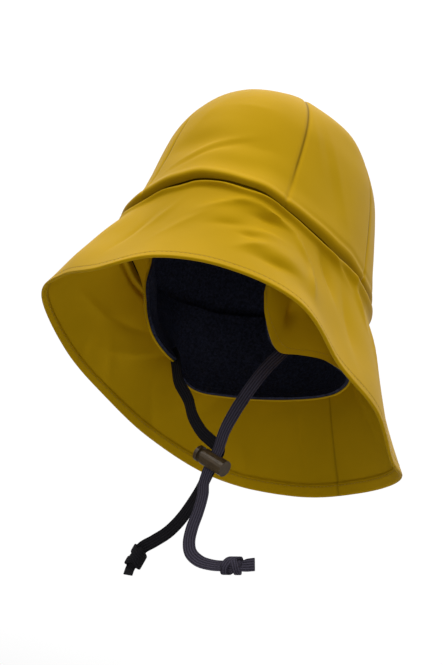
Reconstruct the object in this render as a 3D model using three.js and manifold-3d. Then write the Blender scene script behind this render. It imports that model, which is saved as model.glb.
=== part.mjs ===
// A sou'wester rain hat of coated cloth with a fleece-lined ear and neck flap and a chin strap.
// Units are millimetres, +Z is up, the wearer faces -Y and the wearer's left is +X.
// The origin is the middle of the crown base, where the hat sits on a head.
import * as THREE from 'three';
import { mergeVertices } from 'three/addons/utils/BufferGeometryUtils.js';
import Module from 'manifold-3d';

const wasm = await Module();
wasm.setup();

// Crown: half width and half length at its base, height above the base plane, lean of its top
const HALF_WIDTH = 93;
const HALF_LENGTH = 107.5;
const CROWN_HEIGHT = 137.6;
const CROWN_LEAN = 4.5;

// The seam between crown and brim rises at front and back and dips over the ears
const SEAM_SADDLE = 10.6;
const SEAM_PITCH = 3.2;
const SEAM_TILT = 4.1;

// Brim: distance of the rim from the crown's axis, drop of the rim below the base, the depth
// by which it is drawn in between its edges, its hem and the height tucked into the crown
const BRIM_REACH = 160;
const BRIM_DROP = 120;
const BELLY_DEPTH = 5;
const HEM_WIDTH = 8;
const BRIM_TUCK = 4;

// Ear and neck flap: drop of its lowest point and how far it bows out between its edges
const FLAP_DROP = 75;
const FLAP_BOW = 4;

// Coated cloth, turned hem, fleece, depth of a full dent, and the clearance between pieces
const CLOTH = 1.4;
const HEM_CLOTH = 2.6;
const FLEECE = 2.2;
const DENT_DEPTH = 4;
const CLEARANCE = 0.3;

// Chin strap webbing
const STRAP_WIDTH = 9;
const STRAP_THICKNESS = 1.5;

// Knots in the webbing, and how far their turns stand proud
const KNOT_WIDTH = 13;
const KNOT_HEIGHT = 9.5;
const KNOT_RIDGE = 0.8;

// Cord lock: barrel, plunger and the travel of its button
const BARREL_DIAMETER = 12;
const BARREL_WALL = 1.5;
const BARREL_END = 2.2;
const BARREL_LIP = 0.8;
const PLUNGER_END = 1.4;
const LOCK_TRAVEL = 3;
const BUTTON_DIAMETER = 11.6;
const BUTTON_THICKNESS = 2.8;
const LOCK_TILT = 24.2;
const LOCK_LEAN = 18;
const LOCK_CENTRE = new THREE.Vector3(13.4, -3, -153.1);

const COATED_YELLOW = { color: 0xb8901c, roughness: 0.5, metalness: 0 };
const FLEECE_NAVY = { color: 0x0b0c16, roughness: 0.95, metalness: 0 };
const WEBBING_CHARCOAL = { color: 0x2b2930, roughness: 0.85, metalness: 0 };
const LOCK_BRONZE = { color: 0x4a3c2a, roughness: 0.4, metalness: 0 };

// Gores by name, with the angle of the seam that each one starts at
const GORES = [
  { name: 'front', angle: -34.2 },
  { name: 'front_left', angle: 40.7 },
  { name: 'back_left', angle: 93.2 },
  { name: 'back', angle: 149 },
  { name: 'back_right', angle: 217 },
  { name: 'front_right', angle: 273 },
];
const GORE_CELLS = 8;

// Crown profile from its lower edge, rolled out over the brim, to the top, in shares of the
// crown's height and of its half width and half length
const CROWN_PROFILE = [
  { height: 0.0, radius: 1.0 },
  { height: 0.03, radius: 1.03 },
  { height: 0.06, radius: 1.012 },
  { height: 0.1, radius: 0.955 },
  { height: 0.16, radius: 0.91 },
  { height: 0.25, radius: 0.9 },
  { height: 0.36, radius: 0.893 },
  { height: 0.48, radius: 0.875 },
  { height: 0.6, radius: 0.833 },
  { height: 0.72, radius: 0.75 },
  { height: 0.82, radius: 0.635 },
  { height: 0.9, radius: 0.48 },
  { height: 0.955, radius: 0.325 },
  { height: 0.988, radius: 0.16 },
  { height: 1.0, radius: 0.0 },
];

// Heights of the crown's rows of faces. The lining starts above the tucked edges of the brim
// and the flap, and the gores end just short of the top
const CROWN_ROWS = [0, 0.03, 0.06, 0.1, 0.16, 0.3, 0.45, 0.6, 0.72, 0.82, 0.9, 0.955, 0.985];
const LINING_START = 0.06;
const GORE_TIP = 0.9988;

// Sections round the hat from the front towards the wearer's left: base is a share of the
// crown's half width and half length, reach of BRIM_REACH, drop of BRIM_DROP and belly of
// BELLY_DEPTH
const SECTIONS = [
  { angle: 0, base: 1.004, reach: 0.812, drop: 0.482, belly: 0.8 },
  { angle: 22.5, base: 1.059, reach: 0.838, drop: 0.513, belly: 0.88 },
  { angle: 45, base: 1.027, reach: 0.859, drop: 0.6, belly: 0.88 },
  { angle: 67.5, base: 0.999, reach: 0.766, drop: 0.773, belly: 0.96 },
  { angle: 90, base: 0.993, reach: 0.796, drop: 0.892, belly: 0.8 },
  { angle: 112.5, base: 0.995, reach: 0.855, drop: 1.01, belly: 0.88 },
  { angle: 135, base: 1.014, reach: 0.963, drop: 0.928, belly: 1.04 },
  { angle: 157.5, base: 1.014, reach: 0.997, drop: 0.903, belly: 0.96 },
  { angle: 180, base: 1.016, reach: 1.021, drop: 0.921, belly: 0.96 },
  { angle: 202.5, base: 1.015, reach: 0.984, drop: 0.888, belly: 0.96 },
  { angle: 225, base: 1.014, reach: 0.901, drop: 0.794, belly: 0.96 },
  { angle: 247.5, base: 1.01, reach: 0.847, drop: 0.684, belly: 0.88 },
  { angle: 270, base: 1.013, reach: 0.856, drop: 0.593, belly: 0.72 },
  { angle: 292.5, base: 1.032, reach: 0.911, drop: 0.446, belly: 0.24 },
  { angle: 315, base: 1.06, reach: 0.836, drop: 0.473, belly: -0.32 },
  { angle: 337.5, base: 1.004, reach: 0.818, drop: 0.538, belly: 0.56 },
];

// Soft dents of the brim: where round the hat, share of the way up from the rim, depth as a
// share of DENT_DEPTH (below zero it stands proud), half width round the hat and up the brim
const BRIM_DENTS = [
  { angle: 12, up: 0.65, depth: -0.4, round: 12, along: 0.12 },
  { angle: 34, up: 0.7, depth: 0.9, round: 10, along: 0.15 },
  { angle: 42, up: 0.45, depth: -0.6, round: 10, along: 0.14 },
  { angle: 48, up: 0.22, depth: 0.7, round: 12, along: 0.14 },
  { angle: 66, up: 0.55, depth: -0.5, round: 9, along: 0.3 },
  { angle: 82, up: 0.4, depth: 0.6, round: 9, along: 0.3 },
  { angle: 205, up: 0.4, depth: 0.4, round: 14, along: 0.25 },
  { angle: 250, up: 0.45, depth: 0.5, round: 12, along: 0.25 },
  { angle: 325, up: 0.5, depth: 0.4, round: 14, along: 0.2 },
];

// Creases of the crown in the same columns, with up as a share of its height
const CROWN_DENTS = [
  { angle: 352, up: 0.3, depth: 0.6, round: 16, along: 0.08 },
  { angle: 10, up: 0.2, depth: -0.3, round: 14, along: 0.07 },
  { angle: 62, up: 0.27, depth: 0.5, round: 10, along: 0.16 },
  { angle: 190, up: 0.3, depth: 0.4, round: 20, along: 0.12 },
  { angle: 285, up: 0.26, depth: 0.7, round: 18, along: 0.1 },
];

// Lower edge of the flap below each angle of the seam: across is a share of HALF_WIDTH, along
// of HALF_LENGTH and drop of FLAP_DROP. The straps draw the front corners in to the chin
const FLAP_EDGE = [
  { angle: 42, across: 0.544, along: -0.53, drop: 0.693 },
  { angle: 48, across: 0.557, along: -0.447, drop: 0.86 },
  { angle: 56, across: 0.552, along: -0.353, drop: 0.933 },
  { angle: 68, across: 0.532, along: -0.223, drop: 0.953 },
  { angle: 80, across: 0.526, along: -0.097, drop: 0.927 },
  { angle: 95, across: 0.586, along: 0.074, drop: 0.82 },
  { angle: 110, across: 0.699, along: 0.26, drop: 0.74 },
  { angle: 130, across: 0.8, along: 0.53, drop: 0.747 },
  { angle: 150, across: 0.538, along: 0.78, drop: 0.78 },
  { angle: 180, across: 0.0, along: 0.856, drop: 0.81 },
  { angle: 210, across: -0.538, along: 0.78, drop: 0.78 },
  { angle: 230, across: -0.8, along: 0.53, drop: 0.753 },
  { angle: 250, across: -0.667, along: 0.279, drop: 0.787 },
  { angle: 265, across: -0.548, along: 0.149, drop: 0.893 },
  { angle: 280, across: -0.472, along: 0.014, drop: 1.004 },
  { angle: 292, across: -0.477, along: -0.13, drop: 1.013 },
  { angle: 304, across: -0.497, along: -0.298, drop: 0.96 },
  { angle: 312, across: -0.509, along: -0.41, drop: 0.853 },
  { angle: 318, across: -0.509, along: -0.502, drop: 0.693 },
];
const FLAP_ROWS = [0, 0.14, 0.32, 0.52, 0.76, 1];

// Straps from the flap's edge through the lock to the knot, and the ends beyond the knots,
// with the direction that the flat of the webbing faces at each point
const LEFT_STRAP = [
  { at: [48.2, -10.6, -70.8], face: [-0.55, 0.83, 0.1] },
  { at: [43.8, -11.5, -76], face: [-0.55, 0.83, 0.1] },
  { at: [36.8, -12.6, -90], face: [-0.45, 0.88, 0.1] },
  { at: [30, -13, -106], face: [-0.35, 0.92, 0.15] },
  { at: [24.6, -12.9, -121], face: [-0.2, 0.95, 0.2] },
  { at: [20.3, -11, -133], face: [0.05, 0.95, 0.27] },
  { at: [16.8, -6.64, -145.55], face: [0.127, 0.951, 0.282] },
  { at: [14.85, -5.1, -149.9], face: [0.127, 0.951, 0.282] },
  { at: [13.3, -3.86, -153.35], face: [0.127, 0.951, 0.282] },
  { at: [11.75, -2.62, -156.8], face: [0.127, 0.951, 0.282] },
  { at: [10.2, -1.4, -160.3], face: [0.127, 0.951, 0.282] },
  { at: [10.4, -2.6, -170], face: [0.1, 1, 0.1] },
  { at: [13.6, -5.5, -179.4], face: [0.05, 1, 0] },
  { at: [14.9, -8, -193], face: [0.05, 1, 0] },
  { at: [14.1, -9, -205.4], face: [0, 0.95, -0.2] },
  { at: [14.7, -9, -215.7], face: [0, 0.85, -0.5] },
  { at: [18.7, -10, -223.5], face: [0, 0.75, -0.65] },
  { at: [27.1, -11, -229], face: [0, 0.6, -0.8] },
  { at: [38, -12, -231.2], face: [0, 0.6, -0.8] },
  { at: [47.5, -12.8, -231.2], face: [0, 0.6, -0.8] },
];
const RIGHT_STRAP = [
  { at: [-43.2, 1.6, -76.4], face: [0.35, 0.93, 0.1] },
  { at: [-31.7, 0, -91], face: [0.35, 0.93, 0.1] },
  { at: [-20.7, -2, -105.8], face: [0.3, 0.95, 0.1] },
  { at: [-8.3, -4, -120.3], face: [0.25, 0.95, 0.2] },
  { at: [2.5, -4.2, -131.8], face: [0.18, 0.95, 0.25] },
  { at: [17, -4.92, -145.05], face: [0.127, 0.951, 0.282] },
  { at: [15.05, -3.38, -149.4], face: [0.127, 0.951, 0.282] },
  { at: [13.5, -2.14, -152.85], face: [0.127, 0.951, 0.282] },
  { at: [11.95, -0.9, -156.3], face: [0.127, 0.951, 0.282] },
  { at: [10.4, 0.35, -159.8], face: [0.127, 0.951, 0.282] },
  { at: [5.8, 3, -172.5], face: [0.15, 0.97, 0.2] },
  { at: [0.1, 6, -183.3], face: [0.2, 0.96, 0.15] },
  { at: [-6.4, 9, -193.3], face: [0.2, 0.96, 0.15] },
  { at: [-15.5, 12, -202.8], face: [0.2, 0.96, 0.15] },
  { at: [-25.8, 14, -209.8], face: [0.2, 0.96, 0.15] },
  { at: [-34.3, 15, -215.5], face: [0.2, 0.96, 0.15] },
];
const LEFT_KNOT = { from: [47.8, -12.8, -231], to: [60.8, -13.4, -229.9] };
const RIGHT_KNOT = { from: [-35.3, 15.4, -217.6], to: [-40.2, 17, -231.5] };
const LEFT_END = [
  { at: [60.8, -13.4, -229.9], face: [0, 0.6, -0.8] },
  { at: [65.5, -13.8, -229.1], face: [0, 0.6, -0.8] },
  { at: [70.3, -14, -228.2], face: [0, 0.6, -0.8] },
];
const RIGHT_END = [
  { at: [-40.2, 17, -231.5], face: [0.95, 0.2, 0.2] },
  { at: [-40.8, 17.2, -234.5], face: [0.95, 0.2, 0.2] },
  { at: [-41.2, 17.4, -237.5], face: [0.95, 0.2, 0.2] },
];
const STRAP_STEPS = 52;
const END_STEPS = 3;

const FULL_TURN = 360;
const radians = THREE.MathUtils.degToRad;

// Value of a table's column at a place, on a smooth curve through its rows. With a loop
// length the curve runs round and meets itself
function column(rows, key, name, place, loop = 0) {
  const count = rows.length;
  const row = (k) => {
    if (!loop) {
      const kept = THREE.MathUtils.clamp(k, 0, count - 1);
      return [rows[kept][key], rows[kept][name]];
    }
    const turns = Math.floor(k / count);
    const kept = rows[k - turns * count];
    return [kept[key] + turns * loop, kept[name]];
  };
  const x = loop ? THREE.MathUtils.euclideanModulo(place, loop) : place;
  let i = 0;
  while (i < count - (loop ? 1 : 2) && rows[i + 1][key] <= x) i += 1;
  const [x0, y0] = row(i - 1);
  const [x1, y1] = row(i);
  const [x2, y2] = row(i + 1);
  const [x3, y3] = row(i + 2);
  const span = x2 - x1;
  const t = THREE.MathUtils.clamp((x - x1) / span, 0, 1);
  const startSlope = ((y2 - y0) / (x2 - x0)) * span;
  const endSlope = ((y3 - y1) / (x3 - x1)) * span;
  const t2 = t * t;
  const t3 = t2 * t;
  return (2 * t3 - 3 * t2 + 1) * y1 + (t3 - 2 * t2 + t) * startSlope
    + (3 * t2 - 2 * t3) * y2 + (t3 - t2) * endSlope;
}

const section = (angle, name) => column(SECTIONS, 'angle', name, angle, FULL_TURN);

// Height of the seam between crown and brim
function seamHeight(angle) {
  const a = radians(angle);
  return SEAM_TILT * Math.sin(a) + SEAM_PITCH * Math.cos(a) + SEAM_SADDLE * Math.cos(2 * a);
}

// Level direction that points away from the middle of the hat
function outward(angle) {
  return new THREE.Vector3(Math.sin(radians(angle)), -Math.cos(radians(angle)), 0);
}

// Depth of a table's dents at a place, a smooth bell round the middle of each row
function dentDepth(rows, angle, up) {
  let depth = 0;
  for (const row of rows) {
    const half = FULL_TURN / 2;
    const aside = THREE.MathUtils.euclideanModulo(angle - row.angle + half, FULL_TURN) - half;
    const u = aside / row.round;
    const v = (up - row.up) / row.along;
    depth += row.depth * DENT_DEPTH * Math.exp(-u * u - v * v);
  }
  return depth;
}

// Outer face of the crown. The roll over the brim follows the sections and fades above it
const ROLL_HEIGHT = 0.2;
function crownPoint(angle, up) {
  const roll = Math.max(0, 1 - up / ROLL_HEIGHT) ** 2;
  const share = column(CROWN_PROFILE, 'height', 'radius', up)
    * (1 + (section(angle, 'base') - 1) * roll);
  const dent = dentDepth(CROWN_DENTS, angle, up);
  return new THREE.Vector3(
    (HALF_WIDTH * share - dent) * Math.sin(radians(angle)),
    -(HALF_LENGTH * share - dent) * Math.cos(radians(angle)) - CROWN_LEAN * up,
    CROWN_HEIGHT * up + seamHeight(angle) * (1 - up),
  );
}

// Place on the seam line, moved in by inset and up by rise
function seamPoint(angle, inset, rise) {
  const base = section(angle, 'base');
  return new THREE.Vector3(
    (HALF_WIDTH * base - inset) * Math.sin(radians(angle)),
    -(HALF_LENGTH * base - inset) * Math.cos(radians(angle)),
    seamHeight(angle) + rise,
  );
}

// Outer face of the brim from its rim, up = 0, to the foot of the upright neck that is tucked
// into the crown, and then to the neck's top, up = 1
const BRIM_INSET = CLOTH + CLEARANCE;
const NECK_FOOT = 0.94;
function brimPoint(angle, up) {
  if (up > NECK_FOOT) {
    const rise = (BRIM_TUCK * (up - NECK_FOOT)) / (1 - NECK_FOOT);
    return seamPoint(angle, BRIM_INSET, rise - CLEARANCE);
  }
  const share = up / NECK_FOOT;
  const away = outward(angle);
  const rim = away.clone().multiplyScalar(BRIM_REACH * section(angle, 'reach'));
  rim.z = -BRIM_DROP * section(angle, 'drop');
  const bow = 4 * share * (1 - share);
  const depth = BELLY_DEPTH * section(angle, 'belly') + dentDepth(BRIM_DENTS, angle, share);
  const foot = seamPoint(angle, BRIM_INSET, -CLEARANCE);
  return rim.lerp(foot, share).addScaledVector(away, -depth * bow);
}

// Outer face of the flap from its lower edge, up = 0, to its top inside the brim's neck
const FLAP_INSET = BRIM_INSET + CLOTH + 2 * CLEARANCE;
const BOW_PLACE = 1 / 3;
function flapPoint(angle, up) {
  const edge = (name) => column(FLAP_EDGE, 'angle', name, angle);
  const lower = new THREE.Vector3(
    HALF_WIDTH * edge('across'), HALF_LENGTH * edge('along'), -FLAP_DROP * edge('drop'),
  );
  const top = seamPoint(angle, FLAP_INSET, BRIM_TUCK + CLEARANCE);
  const bow = (up * (1 - up) ** 2) / (BOW_PLACE * (1 - BOW_PLACE) ** 2);
  return lower.lerp(top, up).addScaledVector(outward(angle), FLAP_BOW * bow);
}

// Point at a depth under a face, square to it. Angles run round to the wearer's left and up
// runs upwards, so the first direction crossed with the second points out of the hat
function below(face, angle, up, depth) {
  const aside = 0.2;
  const step = 0.002;
  const round = face(angle + aside, up).sub(face(angle - aside, up));
  const rise = face(angle, Math.min(up + step, 1)).sub(face(angle, Math.max(up - step, 0)));
  return face(angle, up).addScaledVector(round.cross(rise).normalize(), -depth);
}

// Closed wall between two depths under a face, on a grid of angles and rows. place gives the
// angle of a column at a row. A ring closes on itself, and a cap closes at the face's top
function wall(face, columns, rows, depths, { ring = false, cap = false, place } = {}) {
  const points = [];
  for (const side of ['outer', 'inner']) {
    for (const at of columns) {
      for (const up of rows) {
        const angle = place ? place(at, up) : at;
        points.push(below(face, angle, up, depths(up)[side]));
      }
    }
    if (cap) points.push(face(0, 1).setZ(face(0, 1).z - depths(1)[side]));
  }
  const high = rows.length;
  const inner = points.length / 2;
  const index = [];
  const quad = (a, b, c, d) => index.push(a, b, c, a, c, d);
  const spans = ring ? columns.length : columns.length - 1;
  for (let i = 0; i < spans; i += 1) {
    const a = i * high;
    const b = ((i + 1) % columns.length) * high;
    for (let j = 0; j < high - 1; j += 1) {
      quad(a + j, b + j, b + j + 1, a + j + 1);
      quad(inner + a + j, inner + a + j + 1, inner + b + j + 1, inner + b + j);
    }
    quad(a, inner + a, inner + b, b);
    const top = high - 1;
    if (cap) {
      index.push(a + top, b + top, inner - 1);
      index.push(inner + b + top, inner + a + top, 2 * inner - 1);
    } else {
      quad(a + top, b + top, inner + b + top, inner + a + top);
    }
  }
  if (!ring) {
    const end = (columns.length - 1) * high;
    for (let j = 0; j < high - 1; j += 1) {
      quad(j, j + 1, inner + j + 1, inner + j);
      quad(end + j, inner + end + j, inner + end + j + 1, end + j + 1);
    }
  }
  const geometry = new THREE.BufferGeometry();
  geometry.setFromPoints(points);
  geometry.setIndex(index);
  return geometry;
}

const layer = (outer, thickness) => () => ({ outer, inner: outer + thickness });

function addPiece(group, name, geometry, finish) {
  const mesh = new THREE.Mesh(geometry, new THREE.MeshStandardMaterial(finish));
  mesh.name = name;
  group.add(mesh);
}

// Angle of each seam, and of the next seam round
const goreSpan = (k) => [
  GORES[k].angle,
  k + 1 < GORES.length ? GORES[k + 1].angle : GORES[0].angle + FULL_TURN,
];

// Angles of the grid that every layer of the hat shares, so that the layers stay parallel
const ROUND = GORES.flatMap((_, k) => {
  const [from, to] = goreSpan(k);
  return Array.from({ length: GORE_CELLS }, (__, i) => from + ((to - from) * i) / GORE_CELLS);
});

// Six gores between seams that run from the base to the top
function addCrown(group) {
  GORES.forEach(({ name }, k) => {
    const [from, to] = goreSpan(k);
    const middle = (from + to) / 2;
    const place = (share, up) => {
      const radius = HALF_WIDTH * column(CROWN_PROFILE, 'height', 'radius', up);
      const trim = THREE.MathUtils.radToDeg(CLEARANCE / 2 / radius);
      return middle + share * ((to - from) / 2 - trim);
    };
    const shares = Array.from({ length: GORE_CELLS + 1 }, (_, i) => (2 * i) / GORE_CELLS - 1);
    const rows = [...CROWN_ROWS, GORE_TIP];
    const gore = wall(crownPoint, shares, rows, layer(0, CLOTH), { place });
    addPiece(group, `crown_gore_${name}`, gore, COATED_YELLOW);
  });
}

// Fleece cap inside the gores
function addCrownLining(group) {
  const rows = CROWN_ROWS.filter((up) => up >= LINING_START);
  const depths = layer(CLOTH + CLEARANCE, FLEECE);
  const lining = wall(crownPoint, ROUND, rows, depths, { ring: true, cap: true });
  addPiece(group, 'crown_lining', lining, FLEECE_NAVY);
}

// Brim with its turned hem, a ring round the whole hat
function addBrim(group) {
  const hem = HEM_WIDTH / BRIM_DROP;
  const hemStep = 0.012;
  const rows = [0, hem, hem + hemStep, 0.2, 0.35, 0.5, 0.65, 0.8, NECK_FOOT, 1];
  const depths = (up) => ({ outer: 0, inner: up <= hem ? HEM_CLOTH : CLOTH });
  const brim = wall(brimPoint, ROUND, rows, depths, { ring: true });
  addPiece(group, 'brim', brim, COATED_YELLOW);
}

// Ear and neck flap: coated shell outside, fleece inside
function addFlap(group) {
  const from = FLAP_EDGE[0].angle;
  const to = FLAP_EDGE[FLAP_EDGE.length - 1].angle;
  const columns = [from, ...ROUND.filter((angle) => angle > from && angle < to), to];
  const shell = wall(flapPoint, columns, FLAP_ROWS, layer(0, CLOTH));
  addPiece(group, 'flap_shell', shell, COATED_YELLOW);
  const lining = wall(flapPoint, columns, FLAP_ROWS, layer(CLOTH + CLEARANCE, FLEECE));
  addPiece(group, 'flap_lining', lining, FLEECE_NAVY);
}

// Smooth path whose cross-section keeps to the faces named at its points
class StrapPath extends THREE.CatmullRomCurve3 {
  constructor(route) {
    super(route.map((row) => new THREE.Vector3(...row.at)), false, 'centripetal');
    this.faces = route.map((row) => new THREE.Vector3(...row.face));
  }

  computeFrenetFrames(segments) {
    const frames = { tangents: [], normals: [], binormals: [] };
    for (let i = 0; i <= segments; i += 1) {
      const tangent = this.getTangentAt(i / segments);
      const place = this.getUtoTmapping(i / segments) * (this.faces.length - 1);
      const k = Math.min(Math.floor(place), this.faces.length - 2);
      const face = this.faces[k].clone().lerp(this.faces[k + 1], place - k);
      const normal = face.addScaledVector(tangent, -face.dot(tangent)).normalize();
      frames.tangents.push(tangent);
      frames.normals.push(normal);
      frames.binormals.push(tangent.clone().cross(normal));
    }
    return frames;
  }
}

// Flat webbing with eased corners along a route
function webbing(route, steps) {
  const half = STRAP_THICKNESS / 2;
  const edge = STRAP_WIDTH / 2;
  const ease = STRAP_THICKNESS / 3;
  const quarter = [[half, edge - ease], [half - ease, edge]];
  const outline = [
    ...quarter,
    ...quarter.map(([x, y]) => [-x, y]).reverse(),
    ...quarter.map(([x, y]) => [-x, -y]),
    ...quarter.map(([x, y]) => [x, -y]).reverse(),
  ];
  const shape = new THREE.Shape(outline.map(([x, y]) => new THREE.Vector2(x, y)));
  const extrudePath = new StrapPath(route);
  return new THREE.ExtrudeGeometry(shape, { steps, extrudePath, bevelEnabled: false });
}

// Knot pulled tight between two places on the webbing: a rounded lump with turns of webbing
// that stand proud of it
function knot(from, to) {
  const lump = new THREE.SphereGeometry(1, 16, 10);
  const length = from.distanceTo(to) - 2 * CLEARANCE;
  const place = lump.getAttribute('position');
  const squareness = 0.8;
  const ease = (value) => Math.sign(value) * Math.abs(value) ** squareness;
  for (let i = 0; i < place.count; i += 1) {
    const p = new THREE.Vector3().fromBufferAttribute(place, i);
    const turns = Math.cos(3 * Math.PI * p.y + Math.atan2(p.z, p.x));
    const proud = KNOT_RIDGE * turns * (1 - p.y * p.y);
    p.x = ease(p.x) * (KNOT_WIDTH / 2 + proud);
    p.y = (ease(p.y) * length) / 2;
    p.z = ease(p.z) * (KNOT_HEIGHT / 2 + proud);
    place.setXYZ(i, p.x, p.y, p.z);
  }
  const along = to.clone().sub(from).normalize();
  lump.applyQuaternion(new THREE.Quaternion().setFromUnitVectors(THREE.Object3D.DEFAULT_UP, along));
  lump.translate(...from.clone().add(to).multiplyScalar(0.5).toArray());
  return lump;
}

// Straps, their knots and the loose ends beyond the knots
function addStraps(group) {
  const sides = [
    { name: 'left', strap: LEFT_STRAP, lump: LEFT_KNOT, end: LEFT_END },
    { name: 'right', strap: RIGHT_STRAP, lump: RIGHT_KNOT, end: RIGHT_END },
  ];
  for (const { name, strap, lump, end } of sides) {
    addPiece(group, `strap_${name}`, webbing(strap, STRAP_STEPS), WEBBING_CHARCOAL);
    addPiece(group, `strap_end_${name}`, webbing(end, END_STEPS), WEBBING_CHARCOAL);
    const knotEnds = [lump.from, lump.to].map((at) => new THREE.Vector3(...at));
    addPiece(group, `strap_knot_${name}`, knot(...knotEnds), WEBBING_CHARCOAL);
  }
}

// Closed mesh as a solid for cutting and joining, and such a solid as a mesh again
function toSolid(geometry) {
  geometry.deleteAttribute('normal');
  geometry.deleteAttribute('uv');
  const merged = mergeVertices(geometry);
  return new wasm.Manifold(new wasm.Mesh({
    numProp: 3,
    vertProperties: new Float32Array(merged.getAttribute('position').array),
    triVerts: new Uint32Array(merged.getIndex().array),
  }));
}

function fromSolid(solid) {
  const mesh = solid.getMesh();
  const geometry = new THREE.BufferGeometry();
  geometry.setAttribute('position', new THREE.BufferAttribute(mesh.vertProperties, 3));
  geometry.setIndex(new THREE.BufferAttribute(mesh.triVerts, 1));
  return geometry;
}

// Cord lock along its own X axis, with the straps through its middle along Z. The button
// stands off the barrel's open end by its travel, and the plunger's slot is longer by as much
function addCordLock(group) {
  const lock = new THREE.Group();
  lock.position.copy(LOCK_CENTRE);
  lock.rotation.set(radians(LOCK_LEAN), radians(LOCK_TILT), 0, 'YXZ');
  group.add(lock);
  const slotHalf = STRAP_WIDTH / 2 + CLEARANCE;
  const slotDepth = 2 * STRAP_THICKNESS + 3 * CLEARANCE;
  const boreDiameter = BARREL_DIAMETER - 2 * BARREL_WALL;
  const mouth = -slotHalf - LOCK_TRAVEL - BARREL_LIP;
  const stemEnd = slotHalf + PLUNGER_END;
  const boreEnd = stemEnd + LOCK_TRAVEL + CLEARANCE;
  const buttonFace = mouth - LOCK_TRAVEL - CLEARANCE;
  const overlap = 0.5;
  const rod = (diameter, from, to) => {
    const geometry = new THREE.CylinderGeometry(diameter / 2, diameter / 2, to - from, 20);
    geometry.rotateZ(-Math.PI / 2);
    geometry.translate((from + to) / 2, 0, 0);
    return toSolid(geometry);
  };
  const slot = (from, to) => {
    const geometry = new THREE.BoxGeometry(to - from, slotDepth, 2 * BARREL_DIAMETER);
    geometry.translate((from + to) / 2, 0, 0);
    return toSolid(geometry);
  };
  const barrel = rod(BARREL_DIAMETER, mouth, boreEnd + BARREL_END)
    .subtract(rod(boreDiameter, mouth - overlap, boreEnd))
    .subtract(slot(-slotHalf, slotHalf));
  const plunger = rod(boreDiameter - 2 * CLEARANCE, buttonFace - overlap, stemEnd)
    .add(rod(BUTTON_DIAMETER, buttonFace - BUTTON_THICKNESS, buttonFace))
    .subtract(slot(-slotHalf - LOCK_TRAVEL, slotHalf));
  addPiece(lock, 'cordlock_barrel', fromSolid(barrel), LOCK_BRONZE);
  addPiece(lock, 'cordlock_plunger', fromSolid(plunger), LOCK_BRONZE);
}

const hat = new THREE.Group();
hat.name = 'souwester_hat';
addCrown(hat);
addCrownLining(hat);
addBrim(hat);
addFlap(hat);
addStraps(hat);
addCordLock(hat);

export default hat;
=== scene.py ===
"""Looks of a sou'wester rain hat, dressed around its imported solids.

The hat is held up at its head seat: the origin is the middle of the crown's base, +Z is up, the
wearer faces -Y and the wearer's left is +X. Lengths are in metres and angles in degrees, which
run from the front of the hat towards the wearer's left.
"""

import logging
from dataclasses import dataclass, field
from enum import Enum
from typing import Callable, NamedTuple, Sequence

import bpy
import numpy as np
from mathutils import Matrix


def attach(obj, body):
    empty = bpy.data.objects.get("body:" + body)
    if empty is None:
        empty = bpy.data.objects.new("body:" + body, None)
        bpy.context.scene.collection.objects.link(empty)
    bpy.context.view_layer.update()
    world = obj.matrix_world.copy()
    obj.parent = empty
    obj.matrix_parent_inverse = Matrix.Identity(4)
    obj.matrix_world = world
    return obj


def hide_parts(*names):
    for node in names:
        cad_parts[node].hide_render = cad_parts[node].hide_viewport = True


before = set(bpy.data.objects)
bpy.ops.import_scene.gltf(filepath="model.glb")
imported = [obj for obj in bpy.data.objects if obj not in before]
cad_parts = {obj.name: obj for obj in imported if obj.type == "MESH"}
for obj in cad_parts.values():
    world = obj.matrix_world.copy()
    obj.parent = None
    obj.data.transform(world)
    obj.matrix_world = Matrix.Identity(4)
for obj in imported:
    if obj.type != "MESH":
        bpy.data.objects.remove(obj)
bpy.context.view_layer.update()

log = logging.getLogger("souwester")

FULL_TURN = 360.0
MM = 0.001
IMAGE_WIDTH = 443
IMAGE_HEIGHT = 665
SENSOR_MM = 36.0
SHARP_ANGLE = 0.9


class Wall(Enum):
    """Shape of a wall's grid of faces."""

    STRIP = "strip"
    RING = "ring"
    CAP = "cap"


class Section(NamedTuple):
    """Shares of the hat's sizes at one angle round it."""

    angle: float
    base: float
    reach: float
    drop: float
    belly: float


class ProfileRow(NamedTuple):
    """One row of the crown's profile, as shares of its height and of its base."""

    height: float
    radius: float


class EdgeRow(NamedTuple):
    """One point of the flap's lower edge, as shares of the hat's sizes."""

    angle: float
    across: float
    along: float
    drop: float


class Dent(NamedTuple):
    """A soft hollow, or a swelling where depth is below zero."""

    angle: float
    up: float
    depth: float
    round: float
    along: float


class Fold(NamedTuple):
    """A ridge in the cloth, or a crease where height is below zero.

    turn is its direction on the cloth, from level towards straight up.
    """

    angle: float
    up: float
    turn: float
    length: float
    width: float
    height: float


class Ridge(NamedTuple):
    """Bulge of the brim just under the crown, at one angle: its height and its place below."""

    angle: float
    height: float
    below: float


class Lip(NamedTuple):
    """Radius that the gores add to the crown's profile, on the full side and on the flat side."""

    up: float
    full: float
    flat: float


class Share(NamedTuple):
    """A share from nought to one at an angle."""

    angle: float
    share: float


class Tuck(NamedTuple):
    """How far the seam between crown and brim is drawn in at one angle."""

    angle: float
    inset: float


class Wave(NamedTuple):
    """One wave of an uneven seam: how many turns round the hat, its start and its height."""

    turns: int
    start: float
    height: float


class Stop(NamedTuple):
    """A point of a strap's route and the direction that the flat of the webbing faces there."""

    at: tuple[float, float, float]
    face: tuple[float, float, float]


# Numbers and curves


def column(rows: Sequence[NamedTuple], name: str) -> np.ndarray:
    """Gives one named column of a table as an array."""
    return np.array([getattr(row, name) for row in rows], float)


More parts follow.
